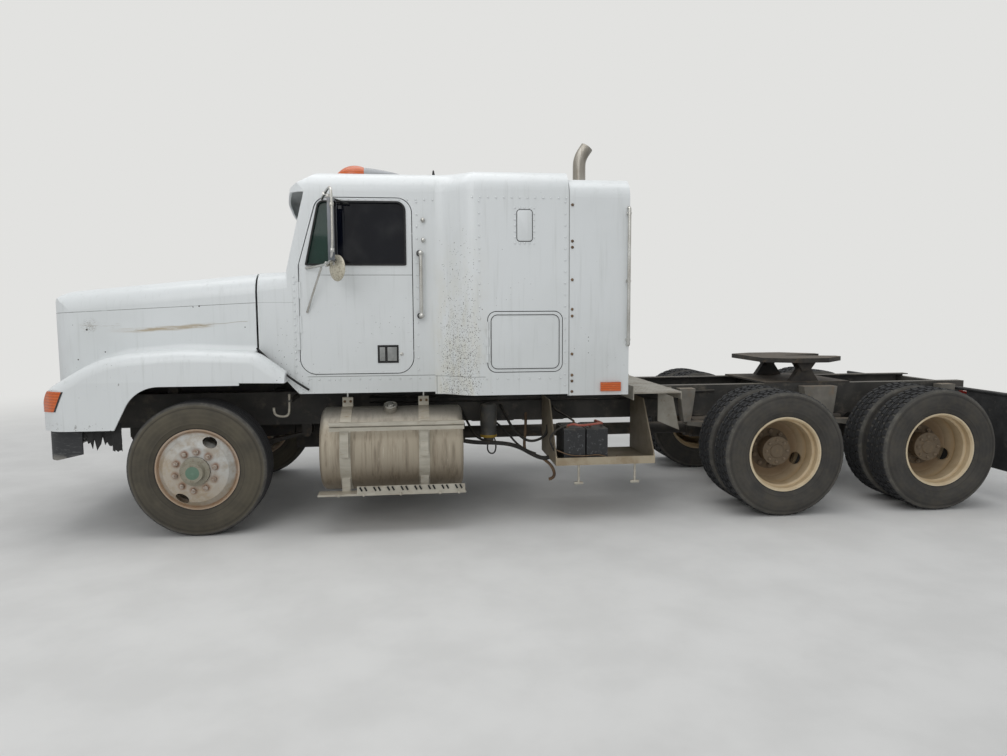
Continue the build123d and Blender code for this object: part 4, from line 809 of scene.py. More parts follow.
def pick_faces(want):
    """In edit mode, selects the faces whose middle and normal pass a test."""
    work = bmesh.from_edit_mesh(bpy.context.object.data)
    for part in (work.verts, work.edges, work.faces):
        for item in part:
            item.select_set(False)
    for face in work.faces:
        if want(face.calc_center_median(), face.normal):
            face.select_set(True)
    bmesh.update_edit_mesh(bpy.context.object.data)


def modify(piece, kind, **settings):
    """Adds a modifier and applies it."""
    bpy.context.view_layer.objects.active = piece
    made = piece.modifiers.new(kind, kind)
    for name, value in settings.items():
        setattr(made, name, value)
    bpy.ops.object.modifier_apply(modifier=made.name)


def block(name, size, place=(0, 0, 0)):
    """A cube drawn out to its measures, with them applied."""
    piece = begin("cube", name, size=1, location=place)
    piece.scale = size
    bpy.ops.object.transform_apply(location=True, rotation=True, scale=True)
    return piece


print("helpers ready")

# %% [markdown]
# A finished piece has its place applied, so that its object stands at the origin, and its shallow
# edges are smoothed while sharp ones stay crisp. Then it gets its material and rides on the body
# that carries it. Without that last step a handle would stay behind when its door opens.

# %% Settle a finished piece
def settle(piece, material, body, angle=35):
    """Applies the piece's place, smooths its shallow edges, dresses it and lets it ride."""
    bpy.ops.object.select_all(action="DESELECT")
    piece.select_set(True)
    bpy.context.view_layer.objects.active = piece
    bpy.ops.object.transform_apply(location=True, rotation=True, scale=True)
    bpy.ops.object.shade_smooth_by_angle(angle=math.radians(angle))
    piece.data.materials.clear()
    piece.data.materials.append(material)
    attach(piece, body)
    return piece


# %% [markdown]
# Nuts, rivets and twin tyres repeat. An array modifier would do for a straight row, but these sit
# in circles and in rows of many directions. So one model is copied to a list of places, and the
# copies are joined as one piece.

# %% Copy a model to many places
def joined(pieces, name):
    """Joins pieces as one, under one name."""
    bpy.ops.object.select_all(action="DESELECT")
    for piece in pieces:
        piece.select_set(True)
    bpy.context.view_layer.objects.active = pieces[0]
    if len(pieces) > 1:
        bpy.ops.object.join()
    pieces[0].name = name
    return pieces[0]


def spread(model, places, name):
    """Copies a model to many places, each with its own mesh, and joins them as one piece."""
    copies = []
    for place in places:
        twin = model.copy()
        twin.data = model.data.copy()
        twin.data.transform(place)
        bpy.context.scene.collection.objects.link(twin)
        copies.append(twin)
    return joined(copies, name)


# %% [markdown]
# A truck tyre is a ring with one profile all the way round, so it is spun from one. A torus would
# be too round: the real profile has a bead, a sidewall with raised rings, a shoulder and ribs.
# Its points are pairs of distance from the axle and distance from the tyre's middle.

# %% Tyre profiles
WALL = [(0.2885, 0.0985), (0.3015, 0.1150), (0.3100, 0.1215), (0.3340, 0.1290), (0.3365, 0.1312),
        (0.3400, 0.1306), (0.3560, 0.1345), (0.3780, 0.1385), (0.4000, 0.1395), (0.4220, 0.1378),
        (0.4420, 0.1328), (0.4520, 0.1298), (0.4540, 0.1312), (0.4570, 0.1298), (0.4680, 0.1262),
        (0.4780, 0.1218), (0.4860, 0.1150), (0.4925, 0.1080)]
STEER_TREAD = [(0.4975, 0.1020), (0.4985, 0.0740), (0.4860, 0.0715), (0.4860, 0.0650), (0.4988, 0.0625),
               (0.4990, 0.0330), (0.4860, 0.0305), (0.4860, 0.0240), (0.4990, 0.0215)]
DRIVE_TREAD = [(0.4975, 0.1020), (0.4985, 0.0680), (0.4830, 0.0650), (0.4830, 0.0560), (0.4988, 0.0530),
               (0.4990, 0.0180), (0.4830, 0.0150), (0.4830, 0.0060), (0.4988, 0.0030)]
print("tyre width", round(2 * max(y for _, y in WALL), 3), "points a half", len(WALL + STEER_TREAD))

# %% [markdown]
# The profile is drawn with bmesh inside edit mode, edge by edge, and the spin operator turns it
# round the axle. The new tyre replaces the plain solid and stays inside its outline.

# %% Spin a tyre
def blank(name):
    """An empty mesh in edit mode: a plane whose points are deleted."""
    piece = begin("plane", name, size=1)
    bpy.ops.object.mode_set(mode="EDIT")
    bpy.ops.mesh.delete(type="VERT")
    return piece, bmesh.from_edit_mesh(piece.data)


def spun_tyre(name, half_profile, steps):
    """A tyre centred on the origin, its axle along Y."""
    profile = [(r, -y) for r, y in half_profile] + [(r, y) for r, y in reversed(half_profile)]
    piece, work = blank(name)
    points = [work.verts.new((r, y, 0)) for r, y in profile]
    for first, second in zip(points, points[1:] + points[:1]):
        work.edges.new((first, second))
    bmesh.update_edit_mesh(piece.data)
    bpy.ops.mesh.select_all(action="SELECT")
    bpy.ops.mesh.spin(steps=steps, angle=math.tau, center=(0, 0, 0), axis=(0, 1, 0))
    bpy.ops.mesh.select_all(action="SELECT")
    bpy.ops.mesh.remove_doubles(threshold=0.00005)
    bpy.ops.mesh.normals_make_consistent(inside=False)
    bpy.ops.object.mode_set(mode="OBJECT")
    return piece


steer_model = spun_tyre("steer_tyre_model", WALL + STEER_TREAD, 96)
print("steer tyre faces", len(steer_model.data.polygons))

# %% [markdown]
# A drive tyre pulls, so its ribs are cut into blocks. Every third stretch of the ribs is pushed
# in, which leaves blocks with grooves between them. The inner ribs are out of step with the outer
# ones, as on the real tread.

# %% Cut the drive tread
DRIVE_STEPS = 144
SHOULDER_RIB = (0.069, 0.4905)
INNER_RIB = (0.0175, 0.0535, 0.498)
LUG_DEPTH = 0.009


def cut_lugs(piece, steps):
    """Pushes in every third stretch of the ribs, the inner ribs out of step with the outer."""
    bpy.ops.object.mode_set(mode="EDIT")

    def groove(middle, normal):
        step = int((math.atan2(middle.z, middle.x) % math.tau) / math.tau * steps)
        reach = math.hypot(middle.x, middle.z)
        outer = abs(middle.y) > SHOULDER_RIB[0] and reach > SHOULDER_RIB[1]
        inner = INNER_RIB[0] < abs(middle.y) < INNER_RIB[1] and reach > INNER_RIB[2]
        return (outer and step % 3 == 0) or (inner and step % 3 == 1)

    pick_faces(groove)
    bpy.ops.mesh.extrude_region_shrink_fatten(TRANSFORM_OT_shrink_fatten={"value": -LUG_DEPTH})
    bpy.ops.object.mode_set(mode="OBJECT")
    return piece


drive_model = cut_lugs(spun_tyre("drive_tyre_model", WALL + DRIVE_TREAD, DRIVE_STEPS), DRIVE_STEPS)
print("drive tyre faces", len(drive_model.data.polygons))

# %% [markdown]
# The front axle has one tyre a side and each drive axle has two. The two of a pair turn as one
# body, so they are one piece. The models themselves are removed once they are copied.

# %% Place the tyres
for side, sign in (("left", -1), ("right", 1)):
    place = Matrix.Translation((FRONT_WHEEL.x, sign * FRONT_Y, TYRE_RADIUS))
    tyre = settle(spread(steer_model, [place], f"steer_tyre_{side}"), front_rubber, f"front_wheel_{side}", 28)
    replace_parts(tyre, f"front_tyre_{side}")
    for axle, x in enumerate(DRIVE_X, start=1):
        places = [Matrix.Translation((x, sign * (DUAL_Y + gap), TYRE_RADIUS))
                  for gap in (-DUAL_GAP, DUAL_GAP)]
        pair = spread(drive_model, places, f"twin_tyres_{axle}_{side}")
        pair = settle(pair, drive_rubber[axle - 1], f"drive_wheels_{axle}_{side}", 28)
        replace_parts(pair, f"drive_tyres_{axle}_{side}")
bpy.data.objects.remove(steer_model)
bpy.data.objects.remove(drive_model)
print("tyres placed on", len(DRIVE_X) * 2 + 2, "wheel bodies")

# %% [markdown]
# Ten nuts hold each wheel. One is modelled: a six-sided prism with its rim bevelled, and a stud
# that stands out of it, made by insetting and extruding the outer face.

# %% Model a wheel nut
def lug_nut(name, radius, height, stud):
    """A nut with its stud, its foot on the origin, pointing to minus Y."""
    piece = begin("cylinder", name, vertices=6, radius=radius, depth=height, location=(0, 0, height / 2))
    bpy.ops.object.mode_set(mode="EDIT")
    pick_faces(lambda middle, normal: normal.z > 0.9)
    bpy.ops.mesh.bevel(offset=radius * 0.18, segments=2, affect="EDGES")
    pick_faces(lambda middle, normal: normal.z > 0.99 and middle.z > 0.9 * height / 2)
    bpy.ops.mesh.inset(thickness=radius * 0.35)
    bpy.ops.mesh.extrude_region_move(TRANSFORM_OT_translate={"value": (0, 0, stud)})
    bpy.ops.object.mode_set(mode="OBJECT")
    bpy.ops.object.transform_apply(location=True, rotation=True, scale=True)
    piece.data.transform(Matrix.Rotation(math.radians(90), 4, "X"))
    return piece


nut = lug_nut("nut_model", 0.0185, 0.022, 0.008)
small_nut = lug_nut("small_nut_model", 0.012, 0.014, 0.008)
print("faces of a nut", len(nut.data.polygons))

# %% [markdown]
# The nut is copied round the bolt circle of every wheel. The drive hubs also carry the eight
# smaller nuts of the axle shaft's flange. On the right side each place is turned half round, so
# that the studs point outboard there too.

# %% Nuts round the wheels
STEERED_SEAT_Y, DRIVE_SEAT_Y, FLANGE_Y = 1.1875, 0.9235, 1.0475
FLANGE_CIRCLE = 0.088


def bolt_circle(x, y, radius, count, start, flip):
    """Places round an axle, pointing outboard."""
    turn = Matrix.Rotation(math.pi, 4, "Z") if flip else Matrix.Identity(4)
    spots = []
    for i in range(count):
        angle = math.radians(start + 360 / count * i)
        where = (x + radius * math.cos(angle), y, TYRE_RADIUS + radius * math.sin(angle))
        spots.append(Matrix.Translation(where) @ turn)
    return spots


for side, sign in (("left", -1), ("right", 1)):
    flip = sign > 0
    places = bolt_circle(FRONT_WHEEL.x, sign * STEERED_SEAT_Y, BOLT_CIRCLE, 10, STEERED_BOLT_START, flip)
    settle(spread(nut, places, f"steered_wheel_nuts_{side}"), stud_steel, f"front_wheel_{side}")
    for axle, x in enumerate(DRIVE_X, start=1):
        body = f"drive_wheels_{axle}_{side}"
        places = bolt_circle(x, sign * DRIVE_SEAT_Y, BOLT_CIRCLE, 10, 18, flip)
        settle(spread(nut, places, f"drive_wheel_nuts_{axle}_{side}"), dusty_stud, body)
        places = bolt_circle(x, sign * FLANGE_Y, FLANGE_CIRCLE, 8, 0, flip)
        settle(spread(small_nut, places, f"axle_flange_nuts_{axle}_{side}"), dusty_stud, body)
for model in (nut, small_nut):
    bpy.data.objects.remove(model)
print("nuts on", 2 + 2 * len(DRIVE_X), "wheel positions, 10 each")

# %% [markdown]
# Aluminium cabs are riveted together, and from the side the rivets show as faint rows beside
# every seam. One rivet is a flat dome: a small sphere cut in half by bisect and flattened.

# %% Model a rivet
rivet = begin("uv_sphere", "rivet_model", segments=8, ring_count=6, radius=0.0075)
bpy.ops.object.mode_set(mode="EDIT")
bpy.ops.mesh.select_all(action="SELECT")
bpy.ops.mesh.bisect(plane_co=(0, 0, 0), plane_no=(0, 1, 0), use_fill=True, clear_outer=True)
bpy.ops.mesh.select_all(action="SELECT")
bpy.ops.transform.resize(value=(1, 0.45, 1))
bpy.ops.object.mode_set(mode="OBJECT")
print("faces of a rivet", len(rivet.data.polygons))

# %% [markdown]
# Most small pieces stand on the other side too. A mirror modifier could make both at once, but
# the doors are different bodies left and right, so the twin is a piece of its own: a copy whose
# mesh is mirrored and whose faces are turned the right way again.

# %% Twins on the right side
def mirrored(piece, name, body):
    """A twin on the other side, with its own mesh, its faces turned the right way."""
    twin = piece.copy()
    twin.data = piece.data.copy()
    twin.data.transform(Matrix.Scale(-1, 4, (0, 1, 0)))
    twin.data.flip_normals()
    twin.name = name
    bpy.context.scene.collection.objects.link(twin)
    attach(twin, body)
    return twin


def both_sides(piece, body):
    """Keeps the left piece and adds its twin on the right."""
    mirrored(piece, piece.name.replace("left", "right"), body.replace("left", "right"))
    return piece


print("twins ready")

# %% [markdown]
# The rows are lists of two ends, a depth and a spacing, so all of one panel's rivets become one
# piece. Their ends are stations and heights read along the seams of the photograph.

# %% Rivet rows
CAB_Y, COWL_Y, SLEEPER_Y = -1.0305, -1.0275, -1.1905
CAB_LINES = [((0.80, 1.135), (1.70, 1.135), CAB_Y, 0.075), ((1.615, 1.2), (1.615, 2.45), CAB_Y, 0.09),
             ((0.708, 1.19), (0.708, 1.9), COWL_Y, 0.05), ((1.0, 2.468), (1.735, 2.468), CAB_Y, 0.06)]
SLEEPER_LINES = [((2.02, 2.468), (2.72, 2.468), SLEEPER_Y, 0.06),
                 ((2.712, 1.08), (2.712, 2.44), SLEEPER_Y, 0.085),
                 ((2.07, 1.5), (2.07, 2.44), SLEEPER_Y, 0.085),
                 ((2.12, 1.135), (2.68, 1.135), SLEEPER_Y, 0.08)]


def row(first, last, gap):
    """Even places between two ends, in the frame."""
    start, end = Vector(first), Vector(last)
    count = max(1, round((end - start).length / gap))
    return [Matrix.Translation(start.lerp(end, i / count)) for i in range(count + 1)]


def rows(lines):
    """All the places along a panel's lines."""
    places = []
    for (x0, z0), (x1, z1), y, gap in lines:
        places += row((along(x0), y, z0), (along(x1), y, z1), gap)
    return places


def side_rivets(name, places, body, material):
    """One side's rivets and their mirror twin."""
    return both_sides(settle(spread(rivet, places, f"{name}_left"), material, body, 60), body)


cab_rows, sleeper_rows = rows(CAB_LINES), rows(SLEEPER_LINES)
side_rivets("cab_rivets", cab_rows, "chassis", cab_paint)
side_rivets("sleeper_rivets", sleeper_rows, "chassis", sleeper_paint)
print("rivets", len(cab_rows), "on the cab and", len(sleeper_rows), "on the sleeper a side")

# %% [markdown]
# The extender panels are held by darker button-head bolts, some single and some in pairs, down
# their front seam. They are the same dome, half as large again and dark.

# %% Extender bolts
BOLT_X = along(2.765)
BOLT_HEIGHTS = (2.42, 2.155, 2.11, 1.87, 1.65, 1.60, 1.315, 1.155, 1.11, 1.03)
button = Matrix.Scale(1.5, 4)
places = [Matrix.Translation((BOLT_X, SLEEPER_Y, z)) @ button for z in BOLT_HEIGHTS]
side_rivets("extender_bolts", places, "chassis", rusty_iron)
print("extender bolts", len(places), "a side")

# %% [markdown]
# Doors close on a black rubber seal that shows as a dark line in the gap, and glass sits in a black
# channel. A ring of this kind starts as a plane the size of the opening. Its corners are rounded
# by a bevel of the corner points, the face is inset to leave a border, the middle is deleted, and
# the border is given a wall.

# %% Model a ring
def frame_ring(name, corners, radii, border, depth, material, body, y, smooth=30):
    """A closed border with round corners on a side panel, its outer edge on the corners."""
    piece, work = blank(name)
    work.faces.new([work.verts.new((x, y, z)) for x, z in corners])
    for index, radius in enumerate(radii):
        corner = Vector((corners[index][0], y, corners[index][1]))
        for item in work.verts:
            item.select_set(False)
        for item in work.verts:
            if (item.co - corner).length < 0.0001:
                item.select_set(True)
        bmesh.update_edit_mesh(piece.data)
        bpy.ops.mesh.bevel(offset=radius, segments=7, affect="VERTICES")
        work = bmesh.from_edit_mesh(piece.data)
    bpy.ops.mesh.select_all(action="SELECT")
    bpy.ops.mesh.inset(thickness=border)
    work = bmesh.from_edit_mesh(piece.data)
    middle = max(work.faces, key=lambda face: face.calc_area())
    for item in work.faces:
        item.select_set(item is middle)
    bmesh.update_edit_mesh(piece.data)
    bpy.ops.mesh.delete(type="FACE")
    bpy.ops.mesh.select_all(action="SELECT")
    bpy.ops.mesh.normals_make_consistent(inside=False)
    bpy.ops.object.mode_set(mode="OBJECT")
    modify(piece, "SOLIDIFY", thickness=depth, offset=0.0)
    return settle(piece, material, body, smooth)


window = [(along(0.792), 1.982), (along(1.536), 1.982), (along(1.536), 2.455), (along(0.896), 2.455)]
seal = frame_ring("window_rubber_left", window, (0.012, 0.012, 0.07, 0.04), 0.013, 0.008, seal_black,
                  "door_left", -1.0325)
both_sides(seal, "door_left")
print("first ring", seal.name, "faces", len(seal.data.polygons))

# %% [markdown]
# The door's own seal follows its five corners and stays on the cab, so that it is seen round the
# opening when the door is open.

# %% Door seal
door_edge = [(along(0.741), 1.1755), (along(1.5785), 1.1755), (along(1.5785), 2.4765), (along(0.892), 2.4765),
             (along(0.748), 1.99)]
lip = frame_ring("door_seal_left", door_edge, (0.118, 0.118, 0.108, 0.1, 0.04), 0.0075, 0.01, seal_black,
                 "chassis", -1.018)
both_sides(lip, "chassis")
print("door seal", lip.name)

# %% [markdown]
# The luggage door has two rings: a bead on its own face, a little inside its edge, and a gasket
# in the gap round it. Both come from the same four corners, drawn in or let out by a step.

# %% Luggage door rings
def grown(corners, step):
    """A rectangle let out by a step all round. Its corners start low in front and go round."""
    signs = ((-1, -1), (1, -1), (1, 1), (-1, 1))
    return [(x + sx * step, z + sz * step) for (x, z), (sx, sz) in zip(corners, signs)]


bay = [(along(2.131), 1.187), (along(2.689), 1.187), (along(2.689), 1.634), (along(2.131), 1.634)]
bead = frame_ring("luggage_door_bead_left", grown(bay, -0.020), (0.05,) * 4, 0.005, 0.004, seal_black,
                  "luggage_door_left", SLEEPER_Y)
both_sides(bead, "luggage_door_left")
gasket = frame_ring("luggage_seal_left", grown(bay, 0.0052), (0.065,) * 4, 0.0045, 0.008, seal_black,
                    "chassis", -1.180)
both_sides(gasket, "chassis")
print("rings", bead.name, gasket.name)

# %% [markdown]
# The small hatch high on the sleeper is a pressed cover with round corners. It is a filled shape
# that is extruded outward, with its outer edge bevelled, and the ring recipe gives its dark lip.

# %% Sleeper hatch
def cover(name, corners, radius, depth, material, body, y):
    """A filled plate with round corners on a side panel, its outer edge softened."""
    piece, work = blank(name)
    work.faces.new([work.verts.new((x, y, z)) for x, z in corners])
    bmesh.update_edit_mesh(piece.data)
    bpy.ops.mesh.select_all(action="SELECT")
    bpy.ops.mesh.bevel(offset=radius, segments=6, affect="VERTICES")
    bpy.ops.mesh.select_all(action="SELECT")
    bpy.ops.mesh.extrude_region_move(TRANSFORM_OT_translate={"value": (0, -depth, 0)})
    bpy.ops.mesh.select_all(action="SELECT")
    bpy.ops.mesh.normals_make_consistent(inside=False)
    pick_faces(lambda middle, normal: normal.y < -0.9)
    bpy.ops.mesh.bevel(offset=min(depth * 0.6, 0.004), segments=2, affect="EDGES")
    bpy.ops.object.mode_set(mode="OBJECT")
    return settle(piece, material, body)


hatch = [(along(2.351), 2.154), (along(2.462), 2.154), (along(2.462), 2.379), (along(2.351), 2.379)]
plate = cover("sleeper_hatch_left", hatch, 0.02, 0.007, sleeper_paint, "chassis", -1.1895)
both_sides(plate, "chassis")
rim = frame_ring("hatch_seal_left", grown(hatch, 0.005), (0.025,) * 4, 0.005, 0.003, seal_black,
                 "chassis", -1.1908)
both_sides(rim, "chassis")
print("hatch", plate.name, "and lip", rim.name)

# %% [markdown]
# Rivets hold the hatch all round. Their places are the same even rows, four of them, end to end.

# %% Hatch rivets
def outline(x0, x1, z0, z1, y, gap):
    """Places round a rectangle on a side panel."""
    corners = [(x0, y, z0), (x1, y, z0), (x1, y, z1), (x0, y, z1), (x0, y, z0)]
    places = []
    for first, last in zip(corners, corners[1:]):
        places += row(first, last, gap)[:-1]
    return places


places = outline(along(2.335), along(2.478), 2.138, 2.395, SLEEPER_Y, 0.04)
side_rivets("hatch_rivets", places, "chassis", sleeper_paint)
bpy.data.objects.remove(rivet)
print("hatch with", len(places), "rivets a side")

# %% [markdown]
# The door's opener is a paddle in a recessed black tray. The tray is a plate whose face is inset
# and pushed in a little, less than its own depth, so that the door's white skin doesn't show in it.

# %% Handle tray
def tray(name, x0, x1, z0, z1, y, wall, depth, material, body):
    """A shallow tray: a plate whose outer face is inset and pushed in."""
    piece = block(name, (x1 - x0, 0.012, z1 - z0), ((x0 + x1) / 2, y, (z0 + z1) / 2))
    bpy.ops.object.mode_set(mode="EDIT")
    pick_faces(lambda middle, normal: normal.y < -0.9)
    bpy.ops.mesh.inset(thickness=wall)
    bpy.ops.mesh.extrude_region_move(TRANSFORM_OT_translate={"value": (0, depth, 0)})
    bpy.ops.object.mode_set(mode="OBJECT")
    modify(piece, "BEVEL", width=0.002, segments=2)
    return settle(piece, material, body)


handle_tray = tray("door_handle_tray_left", along(1.310), along(1.466), 1.254, 1.389, -1.0285, 0.010, 0.003,
                   seal_black, "door_left")
both_sides(handle_tray, "door_left")
print("tray", handle_tray.name)

# %% [markdown]
# The paddle shows as two grey bars across the tray, a narrow one and a wide one. Each is a block
# with softened edges, and the two are joined as one piece.

# %% Door paddle
case_plastic = weathered("handle_grey", tone(128, 130, 128), tone(150, 151, 148), tone(110, 106, 98),
                         0.5, 0.0, 18.0)
bars = []
for x, width in ((1.345, 0.040), (1.418, 0.070)):
    bar = block("paddle_bar", (width, 0.010, 0.104), (along(x), -1.033, 1.3215))
    modify(bar, "BEVEL", width=0.003, segments=2)
    bars.append(bar)
paddle = settle(joined(bars, "door_paddle_left"), case_plastic, "door_left")
both_sides(paddle, "door_left")
print("paddle", paddle.name)

# %% [markdown]
# A key barrel sits beside the paddle: a short cylinder, turned to face outboard.

# %% Door lock
barrel = begin("cylinder", "door_lock_left", vertices=16, radius=0.013, depth=0.008,
               location=(along(1.49), -1.033, 1.32))
barrel.rotation_euler = (math.radians(90), 0, 0)
modify(barrel, "BEVEL", width=0.002, segments=2)
settle(barrel, bright_steel, "door_left")
both_sides(barrel, "door_left")
print("door handles done")

# %% [markdown]
# The vent window in front of each door's glass is a separate small pane behind an upright bar.
# A bar between two points comes back for the wipers and the windscreen's rubber, so it is a helper:
# a block with softened edges, turned to look from one point to the other.

# %% Vent bars
def bar_between(name, first, last, width, depth, material, body):
    """A bar with softened edges between two points."""
    start, end = Vector(first), Vector(last)
    piece = block(name, (width, depth, (end - start).length))
    modify(piece, "BEVEL", width=min(width, depth) * 0.3, segments=2)
    turn = (end - start).to_track_quat("Z", "Y").to_matrix().to_4x4()
    piece.data.transform(Matrix.Translation((start + end) / 2) @ turn)
    return settle(piece, material, body)


vent = bar_between("vent_bar_left", (along(0.99), -1.021, 1.985), (along(1.0), -1.021, 2.452), 0.020, 0.020,
                   seal_black, "door_left")
both_sides(vent, "door_left")
print("vent bar", vent.name)

# %% [markdown]
# The windscreen stands in a black rubber and is divided in the middle by a strip. The screen leans
# back, so the upright bars run from its low line to its high line, just in front of the glass.

# %% Windscreen rubber
SCREEN_LOW, SCREEN_HIGH = (along(0.667), 1.985), (along(0.782), 2.445)
RUBBER = (0.014, 0.02)
for side, sign in (("left", -1), ("right", 1)):
    bar_between(f"screen_rubber_{side}", (SCREEN_LOW[0] - 0.002, sign * 0.893, SCREEN_LOW[1]),
                (SCREEN_HIGH[0] - 0.002, sign * 0.893, SCREEN_HIGH[1]), *RUBBER, seal_black, "chassis")
for name, (x, z), shift in (("screen_rubber_foot", SCREEN_LOW, 0.004),
                            ("screen_rubber_head", SCREEN_HIGH, -0.004)):
    bar_between(name, (x - 0.002, -0.89, z + shift), (x - 0.002, 0.89, z + shift), *RUBBER, seal_black,
                "chassis")
bar_between("screen_centre_strip", (SCREEN_LOW[0] - 0.001, 0, SCREEN_LOW[1]),
            (SCREEN_HIGH[0] - 0.001, 0, SCREEN_HIGH[1]), 0.014, 0.022, seal_black, "chassis")
print("screen rubbers done")

# %% [markdown]
# Each wiper is an arm from a pivot below the screen and a blade that lies on it. The blade follows
# the screen's slope, which is how far the screen goes back for each metre up.

# %% Wipers
slope = (SCREEN_HIGH[0] - SCREEN_LOW[0]) / (SCREEN_HIGH[1] - SCREEN_LOW[1])
REACH = 0.22
for number, (foot, tip) in enumerate(((-0.70, -0.12), (0.12, 0.70)), start=1):
    start = (SCREEN_LOW[0] - 0.018, foot, SCREEN_LOW[1] - 0.018)
    end = (SCREEN_LOW[0] - 0.010 + slope * REACH, tip - 0.14, SCREEN_LOW[1] + REACH)
    bar_between(f"wiper_arm_{number}", start, end, 0.010, 0.007, seal_black, "chassis")
    blade_low = (SCREEN_LOW[0] - 0.010 + slope * 0.05, tip - 0.36, SCREEN_LOW[1] + 0.05)
    blade_high = (SCREEN_LOW[0] - 0.010 + slope * 0.38, tip + 0.02, SCREEN_LOW[1] + 0.38)
    bar_between(f"wiper_blade_{number}", blade_low, blade_high, 0.014, 0.009, seal_black, "chassis")
print("screen slope", round(slope, 3))

# %% [markdown]
# The plastic end of the bumper is broken off behind the lamp, and ragged black pieces of its skirt
# are left under the fender. A ragged piece is a thin plate, subdivided, whose lower points are
# moved up and down by a seeded random amount, so that every run breaks it the same way.

# %% Broken skirt under the fender
def ragged(name, x0, x1, z0, z1, y, jag, seed, body):
    """A thin black plate with a torn lower edge."""
    chance = random.Random(seed)
    piece = begin("plane", name, size=1)
    bpy.ops.object.mode_set(mode="EDIT")
    bpy.ops.mesh.select_all(action="SELECT")
    bpy.ops.mesh.subdivide(number_cuts=14)
    bpy.ops.object.mode_set(mode="OBJECT")
    tears = {}
    for point in piece.data.vertices:
        u, v = point.co.x + 0.5, point.co.y + 0.5
        tears.setdefault(round(u, 3), chance.uniform(0, jag))
        low = z0 + tears[round(u, 3)]
        point.co = (x0 + (x1 - x0) * u, y + chance.uniform(-0.002, 0.002), low + (z1 - low) * v)
    modify(piece, "SOLIDIFY", thickness=0.005, offset=0.0)
    return settle(piece, seal_black, body)


ragged("broken_skirt_left", along(-0.815), along(-0.600), 0.640, 0.790, -1.060, 0.110, 4, "chassis")
ragged("skirt_flap_left", along(-0.590), along(-0.525), 0.640, 0.850, -1.100, 0.016, 9, "hood")
print("torn pieces 2")

# %% [markdown]
# Along the fender's rear foot and the cowl runs a black rubber strip. It follows a few points, so
# it is a tube along a smooth line. The same helper will serve every hose, rod and lead: a NURBS
# curve with a round bevel, turned into a mesh. Its points are stations, as they were measured.

# %% Strip behind the fender
def pipe(name, points, radius, material, body):
    """A tube along a smooth line of stations, closed at its ends."""
    curve = bpy.data.curves.new(name, "CURVE")
    curve.dimensions = "3D"
    spline = curve.splines.new("NURBS")
    spline.points.add(len(points) - 1)
    for point, (x, y, z) in zip(spline.points, points):
        point.co = (along(x), y, z, 1)
    spline.order_u = 3
    spline.use_endpoint_u = True
    curve.bevel_depth = radius
    curve.bevel_resolution = 3
    curve.resolution_u = 6
    curve.use_fill_caps = True
    line = bpy.data.objects.new(name, curve)
    bpy.context.scene.collection.objects.link(line)
    bpy.ops.object.select_all(action="DESELECT")
    line.select_set(True)
    bpy.context.view_layer.objects.active = line
    bpy.ops.object.convert(target="MESH")
    return settle(bpy.context.object, material, body, 50)


strip = pipe("cowl_strip_left", [(0.425, -1.012, 1.375), (0.50, -1.030, 1.300), (0.60, -1.045, 1.205),
                                 (0.72, -1.047, 1.112), (0.80, -1.046, 1.060)], 0.008, seal_black, "chassis")
both_sides(strip, "chassis")
print("strip", strip.name)

# %% [markdown]
# A bright hook below the cab's front corner holds the hood down. It is bent from one rod, so it is
# a tube too, and a dark arm carries it from the frame.

# %% Hood latches
HOOK = [(0.61, 1.005), (0.61, 0.90), (0.60, 0.83), (0.53, 0.83), (0.49, 0.85), (0.49, 0.90)]
for side, sign in (("left", -1), ("right", 1)):
    pipe(f"hood_latch_hook_{side}", [(x, sign * 0.80, z) for x, z in HOOK], 0.010, step_metal, "chassis")
    bar_between(f"hood_latch_arm_{side}", (along(0.61), sign * 0.81, 0.95), (along(0.61), sign * 0.428, 0.95),
                0.04, 0.03, dusty_black, "chassis")
print("latches 2")

# %% [markdown]
# Each tank hangs in two straps. A dark bolt pair holds each strap's ear, and a threaded stud
# stands above it. A bolt is the wheel nut's recipe at a smaller size.

# %% Strap bolts and studs
STRAPS = (1.065, 1.648)
bolt = lug_nut("bolt_model", 0.011, 0.009, 0.003)
places = [Matrix.Translation((along(x + step), -0.892, 0.950)) for x in STRAPS for step in (-0.022, 0.022)]
heads = settle(spread(bolt, places, "strap_bolts_left"), rusty_iron, "chassis")
both_sides(heads, "chassis")
stud_model = begin("cylinder", "stud_model", vertices=12, radius=0.008, depth=0.05, location=(0, 0, 0.005))
modify(stud_model, "BEVEL", width=0.002, segments=1)
bpy.ops.object.transform_apply(location=True, rotation=True, scale=True)
studs = spread(stud_model, [Matrix.Translation((along(x), -0.88, 0.995)) for x in STRAPS], "strap_studs_left")
both_sides(settle(studs, bright_steel, "chassis"), "chassis")
bpy.data.objects.remove(stud_model)
print("strap bolts", len(places), "a side")

# %% [markdown]
# The filler has a cast cap, sunk inside its rim, with a raised middle to grip. It is a cylinder
# whose top is inset and pushed down, then inset again and pulled up. The filler leans outboard, so
# the finished cap is turned about the tank's own axis.

